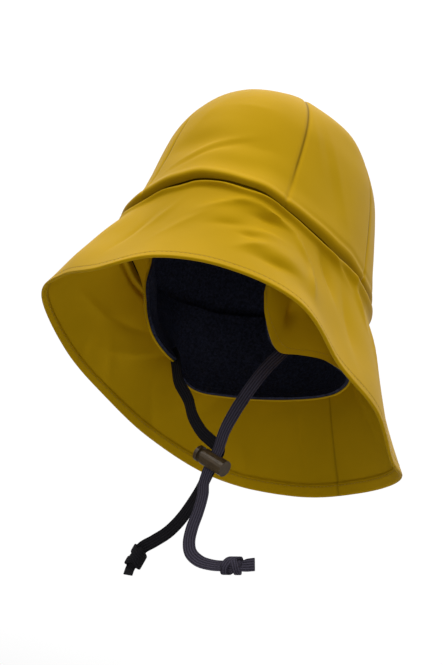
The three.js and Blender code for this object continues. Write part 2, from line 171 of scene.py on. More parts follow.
def smooth(xs: np.ndarray, ys: np.ndarray, at: np.ndarray, loop: float = 0.0) -> np.ndarray:
    """Reads a smooth curve through points: cubic pieces whose slope at a point is that of the
    line between its two neighbours.

    Args:
        xs: Rising places of the points.
        ys: Values there.
        at: Places to read.
        loop: Length after which the curve meets itself, or zero.

    Returns:
        The values at the places.
    """
    at = np.asarray(at, float)
    if loop:
        at = np.mod(at - xs[0], loop) + xs[0]
        xs = np.concatenate([xs[-2:] - loop, xs, xs[:2] + loop])
        ys = np.concatenate([ys[-2:], ys, ys[:2]])
    index = np.arange(len(xs))
    before = np.maximum(index - 1, 0)
    after = np.minimum(index + 1, len(xs) - 1)
    slope = (ys[after] - ys[before]) / (xs[after] - xs[before])
    k = np.clip(np.searchsorted(xs, at, side="right") - 1, 0, len(xs) - 2)
    span = xs[k + 1] - xs[k]
    t = np.clip((at - xs[k]) / span, 0.0, 1.0)
    t2 = t * t
    t3 = t2 * t
    return (
        (2 * t3 - 3 * t2 + 1) * ys[k]
        + (t3 - 2 * t2 + t) * slope[k] * span
        + (3 * t2 - 2 * t3) * ys[k + 1]
        + (t3 - t2) * slope[k + 1] * span
    )


def unit(vectors: np.ndarray) -> np.ndarray:
    """Scales vectors to length one."""
    return vectors / np.maximum(np.linalg.norm(vectors, axis=-1, keepdims=True), 1e-12)


def aside(angle: np.ndarray, middle: float) -> np.ndarray:
    """Signed angle from a middle, the short way round."""
    half = FULL_TURN / 2
    return np.mod(angle - middle + half, FULL_TURN) - half


def outward(angle: np.ndarray) -> np.ndarray:
    """Level unit vectors away from the middle of the hat."""
    a = np.radians(angle)
    return np.stack([np.sin(a), -np.cos(a), np.zeros_like(a)], -1)


def dent_depth(dents: Sequence[Dent], angle: np.ndarray, up: np.ndarray) -> np.ndarray:
    """Sums soft bells, each its depth times e to minus the squared distances from its middle."""
    depth = np.zeros(np.broadcast(angle, up).shape)
    for dent in dents:
        u = aside(angle, dent.angle) / dent.round
        v = (up - dent.up) / dent.along
        depth += dent.depth * np.exp(-u * u - v * v)
    return depth


def fold_height(
    folds: Sequence[Fold], angle: np.ndarray, up: np.ndarray, girth: float, slant: float
) -> np.ndarray:
    """Sums ridges on a cloth. Along a ridge the height is a bell, and across it a bell with a
    sharper crest: e to minus the distance to the power 1.5.

    Args:
        folds: The ridges.
        angle: Angles round the hat.
        up: Shares of the way up the cloth.
        girth: Length of the cloth round the hat.
        slant: Length of the cloth from bottom to top.

    Returns:
        Height out of the cloth, below zero in a crease.
    """
    height = np.zeros(np.broadcast(angle, up).shape)
    for fold in folds:
        x = aside(angle, fold.angle) / FULL_TURN * girth
        y = (up - fold.up) * slant
        turn = np.radians(fold.turn)
        along = (x * np.cos(turn) + y * np.sin(turn)) / fold.length
        across = (y * np.cos(turn) - x * np.sin(turn)) / fold.width
        height += fold.height * np.exp(-along * along - np.abs(across) ** 1.5)
    return height


def ripple(angle: np.ndarray, up: np.ndarray, seed: int, size: float) -> np.ndarray:
    """Uneven hang of soft cloth: a sum of nine slow waves with seeded directions.

    Args:
        angle: Angles round the hat.
        up: Shares of the way up the cloth.
        seed: Seed of the draws.
        size: Greatest height of one wave.

    Returns:
        Height out of the cloth.
    """
    draw = np.random.default_rng(seed)
    height = np.zeros(np.broadcast(angle, up).shape)
    for _ in range(9):
        turns = draw.integers(2, 13)
        rows = draw.uniform(-2.5, 2.5)
        phase = draw.uniform(0, 2 * np.pi)
        height += size * draw.uniform(0.3, 1) * np.sin(np.radians(angle) * turns + rows * up + phase)
    return height / 3


def face_normals(points: np.ndarray, kind: Wall) -> np.ndarray:
    """Unit normals of a grid of points: differences round the hat crossed with differences up.

    Args:
        points: Array of columns by rows by three.
        kind: Whether the columns close on themselves.

    Returns:
        Array of the same shape, pointing out of the hat.
    """
    if kind is Wall.STRIP:
        across = np.gradient(points, axis=0)
    else:
        across = np.roll(points, -1, 0) - np.roll(points, 1, 0)
    return unit(np.cross(across, np.gradient(points, axis=1)))


# Meshes


def make_object(
    name: str,
    points: np.ndarray,
    faces: list[np.ndarray],
    uvs: list[np.ndarray] | None = None,
) -> bpy.types.Object:
    """Makes a smooth-shaded mesh object at the origin.

    Args:
        name: Object name.
        points: Vertices, one row each.
        faces: Arrays of vertex numbers, one row a face, each array with its own corner count.
        uvs: For each array of faces, its corners' map places in metres, or nothing.

    Returns:
        The new object, linked to the scene.
    """
    mesh = bpy.data.meshes.new(name)
    corners = np.concatenate([f.reshape(-1) for f in faces])
    counts = np.concatenate([np.full(len(f), f.shape[1]) for f in faces])
    starts = np.concatenate([[0], np.cumsum(counts)[:-1]])
    mesh.vertices.add(len(points))
    mesh.vertices.foreach_set("co", np.asarray(points, np.float32).reshape(-1))
    mesh.loops.add(len(corners))
    mesh.loops.foreach_set("vertex_index", corners.astype(np.int32))
    mesh.polygons.add(len(counts))
    mesh.polygons.foreach_set("loop_start", starts.astype(np.int32))
    mesh.polygons.foreach_set("use_smooth", np.ones(len(counts), bool))
    if uvs is not None:
        layer = mesh.uv_layers.new(name="UVMap")
        layer.data.foreach_set("uv", np.concatenate([u.reshape(-1) for u in uvs]).astype(np.float32))
    mesh.update(calc_edges=True)
    mesh.validate()
    thing = bpy.data.objects.new(name, mesh)
    bpy.context.scene.collection.objects.link(thing)
    return thing


def grid_faces(columns: int, rows: int, ring: bool) -> np.ndarray:
    """Numbers the corners of a grid's square faces, column by column, wound to face outwards."""
    i = np.arange(columns if ring else columns - 1)[:, None]
    j = np.arange(rows - 1)[None, :]
    a = i * rows + j
    b = ((i + 1) % columns) * rows + j
    return np.stack([a, b, b + 1, a + 1], -1).reshape(-1, 4)


def wall_object(
    name: str, outer: np.ndarray, inner: np.ndarray, kind: Wall, seam: np.ndarray | None = None
) -> bpy.types.Object:
    """Joins an outer and an inner grid into one closed wall. Its map runs round and up in metres.

    Args:
        name: Object name.
        outer: Columns by rows by three.
        inner: The same grid moved inwards.
        kind: A strip has ends, a ring closes on itself, and a cap's last row is one point.
        seam: Share of painted shade at each point of the grid, or nothing.

    Returns:
        The new object.
    """
    columns, rows = outer.shape[:2]
    ring = kind is not Wall.STRIP
    count = columns * rows
    face = grid_faces(columns, rows, ring)
    spans = columns if ring else columns - 1
    i = np.arange(spans)
    a = i * rows
    b = ((i + 1) % columns) * rows
    top = rows - 1
    faces = [face, face[:, ::-1] + count, np.stack([a, a + count, b + count, b], -1)]
    round_step = np.linalg.norm(np.diff(np.append(outer, outer[:1], 0), axis=0), axis=-1).mean(1)
    round_place = np.concatenate([[0], np.cumsum(round_step)])
    up_step = np.linalg.norm(np.diff(outer, axis=1), axis=-1).mean(0)
    up_place = np.concatenate([[0], np.cumsum(up_step)])
    u0 = np.repeat(round_place[i], rows - 1)
    u1 = np.repeat(round_place[i + 1], rows - 1)
    v0 = np.tile(up_place[:-1], spans)
    v1 = np.tile(up_place[1:], spans)
    us = np.stack([u0, u1, u1, u0], -1)
    vs = np.stack([v0, v0, v1, v1], -1)
    uv = np.stack([us, vs], -1)
    low = np.stack([np.stack([round_place[i], round_place[i], round_place[i + 1], round_place[i + 1]], -1),
                    np.zeros((spans, 4))], -1)
    uvs = [uv, uv[:, ::-1], low]
    if kind is not Wall.CAP:
        faces.append(np.stack([a + top, b + top, b + top + count, a + top + count], -1))
        uvs.append(low + [0, up_place[-1]])
    if not ring:
        j = np.arange(rows - 1)
        end = (columns - 1) * rows
        faces.append(np.stack([j, j + 1, j + 1 + count, j + count], -1))
        faces.append(np.stack([end + j, end + j + count, end + j + 1 + count, end + j + 1], -1))
        for place, order in ((0.0, (0, 1, 1, 0)), (round_place[-2], (0, 0, 1, 1))):
            v = np.stack([up_place[j + k] for k in order], -1)
            uvs.append(np.stack([np.full_like(v, place), v], -1))
    thing = make_object(name, np.concatenate([outer.reshape(-1, 3), inner.reshape(-1, 3)]), faces, uvs)
    thing.data.set_sharp_from_angle(angle=SHARP_ANGLE)
    # Painted shade, stored as the seam attribute for the cloth's colour to darken by
    if seam is not None:
        share = np.broadcast_to(seam, (columns, rows)).reshape(-1)
        layer = thing.data.attributes.new("seam", "FLOAT", "POINT")
        layer.data.foreach_set("value", np.tile(share, 2).astype(np.float32))
    if kind is Wall.CAP:
        weld(thing)
    return thing


def join(pieces: list[bpy.types.Object]) -> None:
    """Joins meshes into the first of them."""
    with bpy.context.temp_override(active_object=pieces[0], selected_editable_objects=pieces):
        bpy.ops.object.join()


def weld(thing: bpy.types.Object, distance: float = 1e-6) -> None:
    """Merges vertices that lie together, such as those of a cap's last row."""
    import bmesh

    mesh = bmesh.new()
    mesh.from_mesh(thing.data)
    bmesh.ops.remove_doubles(mesh, verts=mesh.verts, dist=distance)
    mesh.to_mesh(thing.data)
    mesh.free()


@dataclass(frozen=True)
class Path:
    """A smooth line through given points, with the facing of a flat band along it.

    The line is a Catmull-Rom curve whose knots are spaced by the square root of the distance
    between points, and the facing is mixed between the points' own.
    """

    stops: tuple[Stop, ...]

    def line(self, steps: int) -> tuple[np.ndarray, np.ndarray]:
        """Works out evenly spaced points and the facing there.

        Args:
            steps: Number of stretches.

        Returns:
            Points and unit facings, each steps + 1 by three.
        """
        points = np.array([stop.at for stop in self.stops], float) * MM
        faces = np.array([stop.face for stop in self.stops], float)
        points = np.concatenate([[2 * points[0] - points[1]], points, [2 * points[-1] - points[-2]]])
        gaps = np.sqrt(np.linalg.norm(np.diff(points, axis=0), axis=1))
        fine = np.linspace(0, len(self.stops) - 1, 4000)
        k = np.minimum(fine.astype(int), len(self.stops) - 2)
        t = (fine - k)[:, None]
        p0, p1, p2, p3 = (points[k + n] for n in range(4))
        g0, g1, g2 = (gaps[k + n][:, None] for n in range(3))
        m1 = ((p1 - p0) / g0 - (p2 - p0) / (g0 + g1) + (p2 - p1) / g1) * g1
        m2 = ((p2 - p1) / g1 - (p3 - p1) / (g1 + g2) + (p3 - p2) / g2) * g1
        curve = (
            (2 * t**3 - 3 * t**2 + 1) * p1
            + (t**3 - 2 * t**2 + t) * m1
            + (3 * t**2 - 2 * t**3) * p2
            + (t**3 - t**2) * m2
        )
        facing = faces[k] * (1 - t) + faces[k + 1] * t
        run = np.concatenate([[0], np.cumsum(np.linalg.norm(np.diff(curve, axis=0), axis=1))])
        even = np.linspace(0, run[-1], steps + 1)
        line = np.stack([np.interp(even, run, curve[:, c]) for c in range(3)], -1)
        turned = np.stack([np.interp(even, run, facing[:, c]) for c in range(3)], -1)
        tangent = unit(np.gradient(line, axis=0))
        turned = unit(turned - (turned * tangent).sum(-1, keepdims=True) * tangent)
        return line, turned

    def length(self) -> float:
        """Length of the line."""
        line, _ = self.line(1000)
        return float(np.linalg.norm(np.diff(line, axis=0), axis=1).sum())


def band_object(
    name: str,
    line: np.ndarray,
    facing: np.ndarray,
    width: np.ndarray,
    thickness: np.ndarray,
    sides: int = 28,
) -> bpy.types.Object:
    """Carries a flat section with rounded edges along a line: a superellipse of power five, its
    half sizes the band's half width and half thickness. The map runs round the section and along.

    Args:
        name: Object name.
        line: Points along the band.
        facing: Unit vectors square to the flat of the band.
        width: Width of the band at each point.
        thickness: Thickness at each point.
        sides: Number of points round the section.

    Returns:
        The new object, closed at both ends.
    """
    power = 2.0 / 5.0
    turn = np.linspace(0, 2 * np.pi, sides, endpoint=False)
    flat = np.sign(np.cos(turn)) * np.abs(np.cos(turn)) ** power
    deep = np.sign(np.sin(turn)) * np.abs(np.sin(turn)) ** power
    tangent = unit(np.gradient(line, axis=0))
    side = np.cross(facing, tangent)
    rings = (
        line[None]
        + side[None] * (flat[:, None] * width[None] / 2)[..., None]
        + facing[None] * (deep[:, None] * thickness[None] / 2)[..., None]
    )
    steps = len(line)
    face = grid_faces(sides, steps, True)
    start = np.arange(sides)[None] * steps
    end = (np.arange(sides)[None] * steps + steps - 1)[:, ::-1]
    run = np.concatenate([[0], np.cumsum(np.linalg.norm(np.diff(line, axis=0), axis=1))])
    across = flat * np.max(width) / 2
    i = np.repeat(np.arange(sides), steps - 1)
    j = np.tile(np.arange(steps - 1), sides)
    us = np.stack([across[i], across[(i + 1) % sides], across[(i + 1) % sides], across[i]], -1)
    vs = np.stack([run[j], run[j], run[j + 1], run[j + 1]], -1)
    ends = [np.stack([across[None], np.zeros((1, sides))], -1), np.stack([across[None, ::-1], np.full((1, sides), run[-1])], -1)]
    thing = make_object(name, rings.reshape(-1, 3), [face, start, end], [np.stack([us, vs], -1), *ends])
    outwards(thing)
    return thing


def outwards(thing: bpy.types.Object) -> None:
    """Turns every face of a closed mesh to point out."""
    import bmesh

    mesh = bmesh.new()
    mesh.from_mesh(thing.data)
    bmesh.ops.remove_doubles(mesh, verts=mesh.verts, dist=1e-7)
    bmesh.ops.recalc_face_normals(mesh, faces=mesh.faces)
    mesh.to_mesh(thing.data)
    mesh.free()


def stitch_row(
    name: str,
    line: np.ndarray,
    normals: np.ndarray,
    length: float,
    gap: float,
    thickness: float,
) -> bpy.types.Object:
    """Makes one row of sewing as a mesh of many short bowed threads.

    Each stitch is a tube of six sides whose height over the cloth is half a sine along it.

    Args:
        name: Object name.
        line: Points along the row, on the cloth.
        normals: Unit vectors out of the cloth there.
        length: Length of one stitch.
        gap: Gap between stitches.
        thickness: Thickness of the thread.

    Returns:
        The new object.
    """
    run = np.concatenate([[0], np.cumsum(np.linalg.norm(np.diff(line, axis=0), axis=1))])
    starts = np.arange(gap, run[-1] - length, length + gap)
    share = np.linspace(0, 1, 5)
    places = starts[:, None] + share[None] * length
    centre = np.stack([np.interp(places, run, line[:, c]) for c in range(3)], -1)
    normal = unit(np.stack([np.interp(places, run, normals[:, c]) for c in range(3)], -1))
    centre = centre + normal * (thickness * (0.55 * np.sin(np.pi * share) - 0.25))[None, :, None]
    tangent = unit(np.gradient(centre, axis=1))
    side = np.cross(normal, tangent)
    turn = np.linspace(0, 2 * np.pi, 6, endpoint=False)
    radius = thickness / 2 * np.array([0.55, 0.95, 1.0, 0.95, 0.55])
    ring = (
        centre[:, None]
        + side[:, None] * (np.cos(turn)[:, None] * radius[None])[None, ..., None]
        + normal[:, None] * (np.sin(turn)[:, None] * radius[None])[None, ..., None]
    )
    count = ring.shape[1] * ring.shape[2]
    base = (np.arange(len(starts)) * count)[:, None, None]
    face = grid_faces(6, 5, True)[None] + base
    first = (np.arange(6) * 5)[None, None] + base
    last = (np.arange(6) * 5 + 4)[::-1][None, None] + base
    faces = [face.reshape(-1, 4), first.reshape(-1, 6), last.reshape(-1, 6)]
    thing = make_object(name, ring.reshape(-1, 3), faces)
    outwards(thing)
    return thing


# Materials


def linear(hex_colour: str) -> tuple[float, float, float, float]:
    """Turns an sRGB hex colour into linear red, green, blue and alpha."""
    value = np.array([int(hex_colour[i : i + 2], 16) for i in (1, 3, 5)]) / 255
    low = value / 12.92
    high = ((value + 0.055) / 1.055) ** 2.4
    return (*np.where(value <= 0.04045, low, high).tolist(), 1.0)


class Nodes:
    """Node tree of one new material, with its Principled shader at hand."""

    def __init__(self, name: str) -> None:
        """Starts a material.

        Args:
            name: Name of the material.
        """
        self.material = bpy.data.materials.new(name)
        self.material.use_nodes = True
        self.tree = self.material.node_tree
        self.shader = self.tree.nodes["Principled BSDF"]

    def add(self, kind: str, links: dict | None = None, **settings: object) -> bpy.types.Node:
        """Adds a node.

        Args:
            kind: Blender's name for the node type.
            links: Input names or numbers, each with the output socket that feeds it.
            settings: Node attributes, or values of inputs where the key starts with "in_".

        Returns:
            The new node.
        """
        node = self.tree.nodes.new(kind)
        for key, value in settings.items():
            if key.startswith("in_"):
                name = key[3:]
                node.inputs[int(name) if name.isdigit() else name].default_value = value
            else:
                setattr(node, key, value)
        for socket, source in (links or {}).items():
            self.tree.links.new(source, node.inputs[socket])
        return node

    def ramp(self, source: bpy.types.NodeSocket, stops: Sequence[tuple[float, str]]) -> bpy.types.NodeSocket:
        """Colours a value by hex stops and gives the colour socket."""
        node = self.add("ShaderNodeValToRGB", {"Fac": source})
        elements = node.color_ramp.elements
        while len(elements) < len(stops):
            elements.new(0.5)
        for element, (place, colour) in zip(elements, stops):
            element.position = place
            element.color = linear(colour)
        return node.outputs["Color"]

    def set(self, **values: object) -> None:
        """Sets constants straight on the shader's sockets."""
        for name, value in values.items():
            self.shader.inputs[name.replace("_", " ")].default_value = value

    def link(self, source: bpy.types.NodeSocket, name: str) -> None:
        """Feeds one of the shader's sockets."""
        self.tree.links.new(source, self.shader.inputs[name])


@dataclass(frozen=True)
class CoatedCloth:
    """Polyurethane-coated knit: a smooth rubbery yellow skin with a soft broad sheen."""

    dark: str = "#A98507"
    middle: str = "#B18B09"
    light: str = "#B7910D"
    # Colour of the painted shade along seams, stitch lines and under the crown's lip
    crease: str = "#4A3602"
    roughness: float = 0.55
    cloud: float = 0.09
    grain: float = 0.0007

    def build(self) -> bpy.types.Material:
        """Makes the material: clouded colour, cloth-like unevenness and a fine moulded grain."""
        nodes = Nodes("coated_cloth")
        place = nodes.add("ShaderNodeTexCoord").outputs["Object"]
        # Shade drifts over about a hand's width of cloth
        cloud = nodes.add("ShaderNodeTexNoise", {"Vector": place}, in_Scale=1 / self.cloud, in_Detail=3.0)
        colour = nodes.ramp(cloud.outputs["Fac"], ((0.3, self.dark), (0.5, self.middle), (0.72, self.light)))
        # Painted shade: colour darkens where each mesh's seam attribute says, at seams, stitch lines and under the
        # crown's lip
        crease = nodes.add("ShaderNodeAttribute", attribute_name="seam").outputs["Fac"]
        shaded = nodes.add("ShaderNodeMix", {0: crease, 6: colour}, data_type="RGBA", in_7=linear(self.crease))
        nodes.link(shaded.outputs[2], "Base Color")
        # The coating shines a little more where it is rubbed smooth
        rough = nodes.add("ShaderNodeMapRange", {"Value": cloud.outputs["Fac"]}, in_3=self.roughness - 0.05,
                          in_4=self.roughness + 0.06)
        nodes.link(rough.outputs["Result"], "Roughness")
        # Grain of the coating, drawn about twice as coarse as the real half millimetre
        grain = nodes.add("ShaderNodeTexVoronoi", {"Vector": place}, in_Scale=1 / self.grain)
        # Slight unevenness of the knit under the coating, a few millimetres across
        knit = nodes.add("ShaderNodeTexNoise", {"Vector": place}, in_Scale=1 / 0.006, in_Detail=2.0)
        coarse = nodes.add("ShaderNodeBump", {"Height": knit.outputs["Fac"]}, in_Strength=0.12, in_Distance=0.0006)
        bump = nodes.add("ShaderNodeBump", {"Height": grain.outputs["Distance"], "Normal": coarse.outputs["Normal"]},
                         in_Strength=0.10, in_Distance=0.0002)
        nodes.link(bump.outputs["Normal"], "Normal")
        nodes.set(IOR=1.5, Specular_IOR_Level=0.07, Specular_Tint=linear("#F0C23A"))
        return nodes.material


@dataclass(frozen=True)
class Fleece:
    """Brushed polyester fleece: matt navy, nearly black, with a bluish nap at its edges."""

    dark: str = "#13131C"
    light: str = "#31354A"
    nap: float = 0.0022

    def build(self) -> bpy.types.Material:
        """Makes the material: speckled nap in colour and bump, and a faint blue sheen."""
        nodes = Nodes("fleece")
        place = nodes.add("ShaderNodeTexCoord").outputs["Object"]
        # Tufts of the nap, about two millimetres across
        tufts = nodes.add("ShaderNodeTexNoise", {"Vector": place}, in_Scale=1 / self.nap, in_Detail=6.0, in_Roughness=0.7)
        nodes.link(nodes.ramp(tufts.outputs["Fac"], ((0.35, self.dark), (0.7, self.light))), "Base Color")
        bump = nodes.add("ShaderNodeBump", {"Height": tufts.outputs["Fac"]}, in_Strength=0.7, in_Distance=0.0012)
        nodes.link(bump.outputs["Normal"], "Normal")
        nodes.set(Roughness=0.95, Specular_IOR_Level=0.2, Sheen_Weight=0.25, Sheen_Roughness=0.5,
                  Sheen_Tint=linear("#2A3358"))
        return nodes.material


@dataclass(frozen=True)
class Webbing:
    """Knitted elastic webbing: charcoal, with ribs along it that short cross threads roughen."""

    name: str = "webbing_lit"
    dark: str = "#1D1A22"
    light: str = "#433F4D"
    rib: float = 0.0018
    thread: float = 0.0011

    def build(self) -> bpy.types.Material:
        """Makes the material from the band's own map, which runs across and along in metres."""
        nodes = Nodes(self.name)
        place = nodes.add("ShaderNodeTexCoord").outputs["UV"]
        # A wave texture repeats every 0.314 / scale, so the scale follows from the rib's width
        ribs = nodes.add("ShaderNodeTexWave", {"Vector": place}, bands_direction="X", in_Scale=0.314 / self.rib,
                         in_Distortion=0.0)
        # Loops of the knit, drawn about twice as coarse as they are
        loops = nodes.add("ShaderNodeTexNoise", {"Vector": place}, in_Scale=1 / self.thread, in_Detail=3.0)
        mixed = nodes.add("ShaderNodeMath", {0: ribs.outputs["Fac"], 1: loops.outputs["Fac"]}, operation="ADD")
        tone = nodes.add("ShaderNodeMapRange", {"Value": mixed.outputs["Value"]}, in_1=0.35, in_2=1.55)
        nodes.link(nodes.ramp(tone.outputs["Result"], ((0.0, self.dark), (1.0, self.light))), "Base Color")
        fine = nodes.add("ShaderNodeBump", {"Height": loops.outputs["Fac"]}, in_Strength=0.35, in_Distance=0.0004)
        bump = nodes.add("ShaderNodeBump", {"Height": ribs.outputs["Fac"], "Normal": fine.outputs["Normal"]},
                         in_Strength=0.6, in_Distance=0.0004)
        nodes.link(bump.outputs["Normal"], "Normal")
        nodes.set(Roughness=0.85, Specular_IOR_Level=0.15)
        return nodes.material


@dataclass(frozen=True)
class MouldedPlastic:
    """Injection-moulded acetal in a dark bronze brown, mottled lighter and darker."""

    dark: str = "#403321"
    light: str = "#504028"
    roughness: float = 0.3

    def build(self) -> bpy.types.Material:
        """Makes the material: mottled brown with fine scuffs in its gloss."""
        nodes = Nodes("lock_plastic")
        place = nodes.add("ShaderNodeTexCoord").outputs["Object"]
        # Mottling of the flecked plastic, about three millimetres across
        mottle = nodes.add("ShaderNodeTexNoise", {"Vector": place}, in_Scale=1 / 0.003, in_Detail=4.0)
        nodes.link(nodes.ramp(mottle.outputs["Fac"], ((0.35, self.dark), (0.65, self.light))), "Base Color")
        scuff = nodes.add("ShaderNodeTexNoise", {"Vector": place}, in_Scale=1 / 0.0006, in_Detail=2.0)
        rough = nodes.add("ShaderNodeMapRange", {"Value": scuff.outputs["Fac"]}, in_3=self.roughness - 0.08,
                          in_4=self.roughness + 0.14)
        nodes.link(rough.outputs["Result"], "Roughness")
        bump = nodes.add("ShaderNodeBump", {"Height": scuff.outputs["Fac"]}, in_Strength=0.1, in_Distance=0.0002)
        nodes.link(bump.outputs["Normal"], "Normal")
        nodes.set(IOR=1.48, Metallic=0.15)
        return nodes.material


@dataclass(frozen=True)
class SewingThread:
    """Twisted polyester thread, a little paler than the cloth."""

    name: str = "thread_yellow"
    dark: str = "#8A6A08"
    light: str = "#B38C14"

    def build(self) -> bpy.types.Material:
        """Makes the material: a slanting twist in colour and bump."""
        nodes = Nodes(self.name)
        place = nodes.add("ShaderNodeTexCoord").outputs["Object"]
        # Twist of the plies, about a third of a millimetre
        twist = nodes.add("ShaderNodeTexWave", {"Vector": place}, bands_direction="DIAGONAL", in_Scale=0.314 / 0.0003)
        nodes.link(nodes.ramp(twist.outputs["Fac"], ((0.0, self.dark), (1.0, self.light))), "Base Color")
        bump = nodes.add("ShaderNodeBump", {"Height": twist.outputs["Fac"]}, in_Strength=0.4, in_Distance=0.0001)
        nodes.link(bump.outputs["Normal"], "Normal")
        nodes.set(Roughness=0.6)
        return nodes.material


# Form that the pieces share


@dataclass(frozen=True)
class HatForm:
    """Sizes and main surfaces of the hat, from the same sizes and tables as its solids."""

    half_width: float = 0.093
    half_length: float = 0.1075
    crown_height: float = 0.1376
    crown_lean: float = 0.0045
    saddle: float = 0.0106
    pitch: float = 0.0032
    tilt: float = 0.0041
    brim_reach: float = 0.160
    brim_drop: float = 0.120
    belly_depth: float = 0.005
    brim_tuck: float = 0.004
    flap_drop: float = 0.075
    flap_bow: float = 0.004
    cloth: float = 0.0014
    fleece: float = 0.0022
    clearance: float = 0.0003
    dent_depth: float = 0.004
    neck_foot: float = 0.94
    bow_place: float = 1 / 3
    roll_height: float = 0.2
    tucks: tuple[Tuck, ...] = (
        Tuck(0, 0.0028),
        Tuck(35, 0.0036),
        Tuck(60, 0.0048),
        Tuck(90, 0.0050),
        Tuck(120, 0.0044),
        Tuck(150, 0.0032),
        Tuck(200, 0.0028),
        Tuck(270, 0.0026),
        Tuck(320, 0.0024),
    )
    waves: tuple[Wave, ...] = (
        Wave(5, 1.0, 0.0006),
        Wave(9, 2.2, 0.0005),
        Wave(14, 0.4, 0.0004),
        Wave(23, 1.7, 0.0002),
    )
    lips: tuple[Lip, ...] = (
        Lip(0.0, -0.020, -0.052),
        Lip(0.015, -0.020, -0.062),
        Lip(0.03, -0.016, -0.060),
        Lip(0.05, -0.008, -0.042),
        Lip(0.07, 0.002, -0.030),
        Lip(0.1, 0.033, 0.012),
        Lip(0.16, 0.058, 0.042),
        Lip(0.25, 0.042, 0.034),
        Lip(0.36, 0.018, 0.015),
        Lip(0.5, 0.003, 0.0),
        Lip(1.0, 0.0, 0.0),
    )
    fullness: tuple[Share, ...] = (
        Share(0, 1),
        Share(30, 0.7),
        Share(55, 0.15),
        Share(80, 0.0),
        Share(110, 0.0),
        Share(140, 0.3),
        Share(180, 0.6),
        Share(230, 0.8),
        Share(280, 1),
        Share(320, 1),
    )
    front_pull: float = 0.013
    near_lean: float = 3.0
    seam_raise: float = 0.0024
    sections: tuple[Section, ...] = (
        Section(0, 1.004, 0.812, 0.482, 0.8),
        Section(22.5, 1.059, 0.838, 0.513, 0.88),
        Section(45, 1.027, 0.859, 0.6, 0.88),
        Section(67.5, 0.999, 0.766, 0.773, 0.96),
        Section(90, 0.993, 0.796, 0.892, -0.4),
        Section(112.5, 0.995, 0.845, 1.01, 0.0),
        Section(135, 1.014, 0.962, 0.928, 1.04),
        Section(157.5, 1.014, 0.998, 0.912, 0.96),
        Section(180, 1.016, 1.021, 0.921, 0.96),
        Section(202.5, 1.015, 0.988, 0.902, 0.96),
        Section(225, 1.014, 0.912, 0.808, 0.96),
        Section(247.5, 1.01, 0.856, 0.692, 0.88),
        Section(270, 1.013, 0.856, 0.593, 0.72),
        Section(292.5, 1.032, 0.911, 0.446, -0.1),
        Section(315, 1.06, 0.836, 0.473, -1.1),
        Section(337.5, 1.004, 0.818, 0.538, 0.3),
    )
    profile: tuple[ProfileRow, ...] = (
        ProfileRow(0.0, 1.0),
        ProfileRow(0.03, 1.03),
        ProfileRow(0.06, 1.012),
        ProfileRow(0.1, 0.955),
        ProfileRow(0.16, 0.91),
        ProfileRow(0.25, 0.9),
        ProfileRow(0.36, 0.893),
        ProfileRow(0.48, 0.875),
        ProfileRow(0.6, 0.833),
        ProfileRow(0.72, 0.75),
        ProfileRow(0.82, 0.635),
        ProfileRow(0.9, 0.48),
        ProfileRow(0.955, 0.325),
        ProfileRow(0.988, 0.16),
        ProfileRow(1.0, 0.0),
    )
    brim_dents: tuple[Dent, ...] = (
        Dent(12, 0.65, -0.4, 12, 0.12),
        Dent(34, 0.7, 0.9, 10, 0.15),
        Dent(42, 0.45, -0.6, 10, 0.14),
        Dent(48, 0.22, 0.7, 12, 0.14),
        Dent(66, 0.55, -0.5, 9, 0.3),
        Dent(82, 0.4, 0.6, 9, 0.3),
        Dent(205, 0.4, 0.4, 14, 0.25),
        Dent(250, 0.45, 0.5, 12, 0.25),
        Dent(325, 0.5, 0.4, 14, 0.2),
    )
    crown_dents: tuple[Dent, ...] = (
        Dent(352, 0.3, 0.6, 16, 0.08),
        Dent(10, 0.2, -0.3, 14, 0.07),
        Dent(62, 0.27, 0.5, 10, 0.16),
        Dent(190, 0.3, 0.4, 20, 0.12),
        Dent(285, 0.26, 0.7, 18, 0.1),
        Dent(74, 0.78, -0.8, 20, 0.1),
        Dent(40, 0.9, -0.5, 16, 0.06),
    )
    flap_edge: tuple[EdgeRow, ...] = (
        EdgeRow(42, 0.524, -0.545, 0.62),
        EdgeRow(45, 0.535, -0.5, 0.77),
        EdgeRow(49, 0.549, -0.435, 0.873),
        EdgeRow(56, 0.552, -0.353, 0.933),
        EdgeRow(68, 0.532, -0.223, 0.953),
        EdgeRow(80, 0.526, -0.097, 0.927),
        EdgeRow(95, 0.586, 0.074, 0.82),
        EdgeRow(110, 0.699, 0.26, 0.74),
        EdgeRow(130, 0.8, 0.53, 0.747),
        EdgeRow(150, 0.538, 0.78, 0.78),
        EdgeRow(180, 0.0, 0.856, 0.825),
        EdgeRow(210, -0.538, 0.78, 0.86),
        EdgeRow(221, -0.69, 0.66, 0.87),
        EdgeRow(230, -0.8, 0.53, 0.76),
        EdgeRow(250, -0.667, 0.279, 0.787),
        EdgeRow(265, -0.548, 0.149, 0.893),
        EdgeRow(280, -0.472, 0.014, 1.004),
        EdgeRow(292, -0.477, -0.13, 1.013),
        EdgeRow(304, -0.497, -0.298, 0.96),
        EdgeRow(312, -0.509, -0.41, 0.853),
        EdgeRow(318, -0.509, -0.502, 0.693),
    )

    def section(self, angle: np.ndarray, name: str) -> np.ndarray:
        """Reads a column of the sections round the hat."""
        return smooth(column(self.sections, "angle"), column(self.sections, name), angle, FULL_TURN)

    def seam_height(self, angle: np.ndarray) -> np.ndarray:
        """Height of the seam between crown and brim: one wave round for each tilt, two for the saddle."""
        a = np.radians(angle)
        height = self.seam_raise + self.tilt * np.sin(a) + self.pitch * np.cos(a) + self.saddle * np.cos(2 * a)
        return height + sum(wave.height * np.sin(wave.turns * a + wave.start) for wave in self.waves)

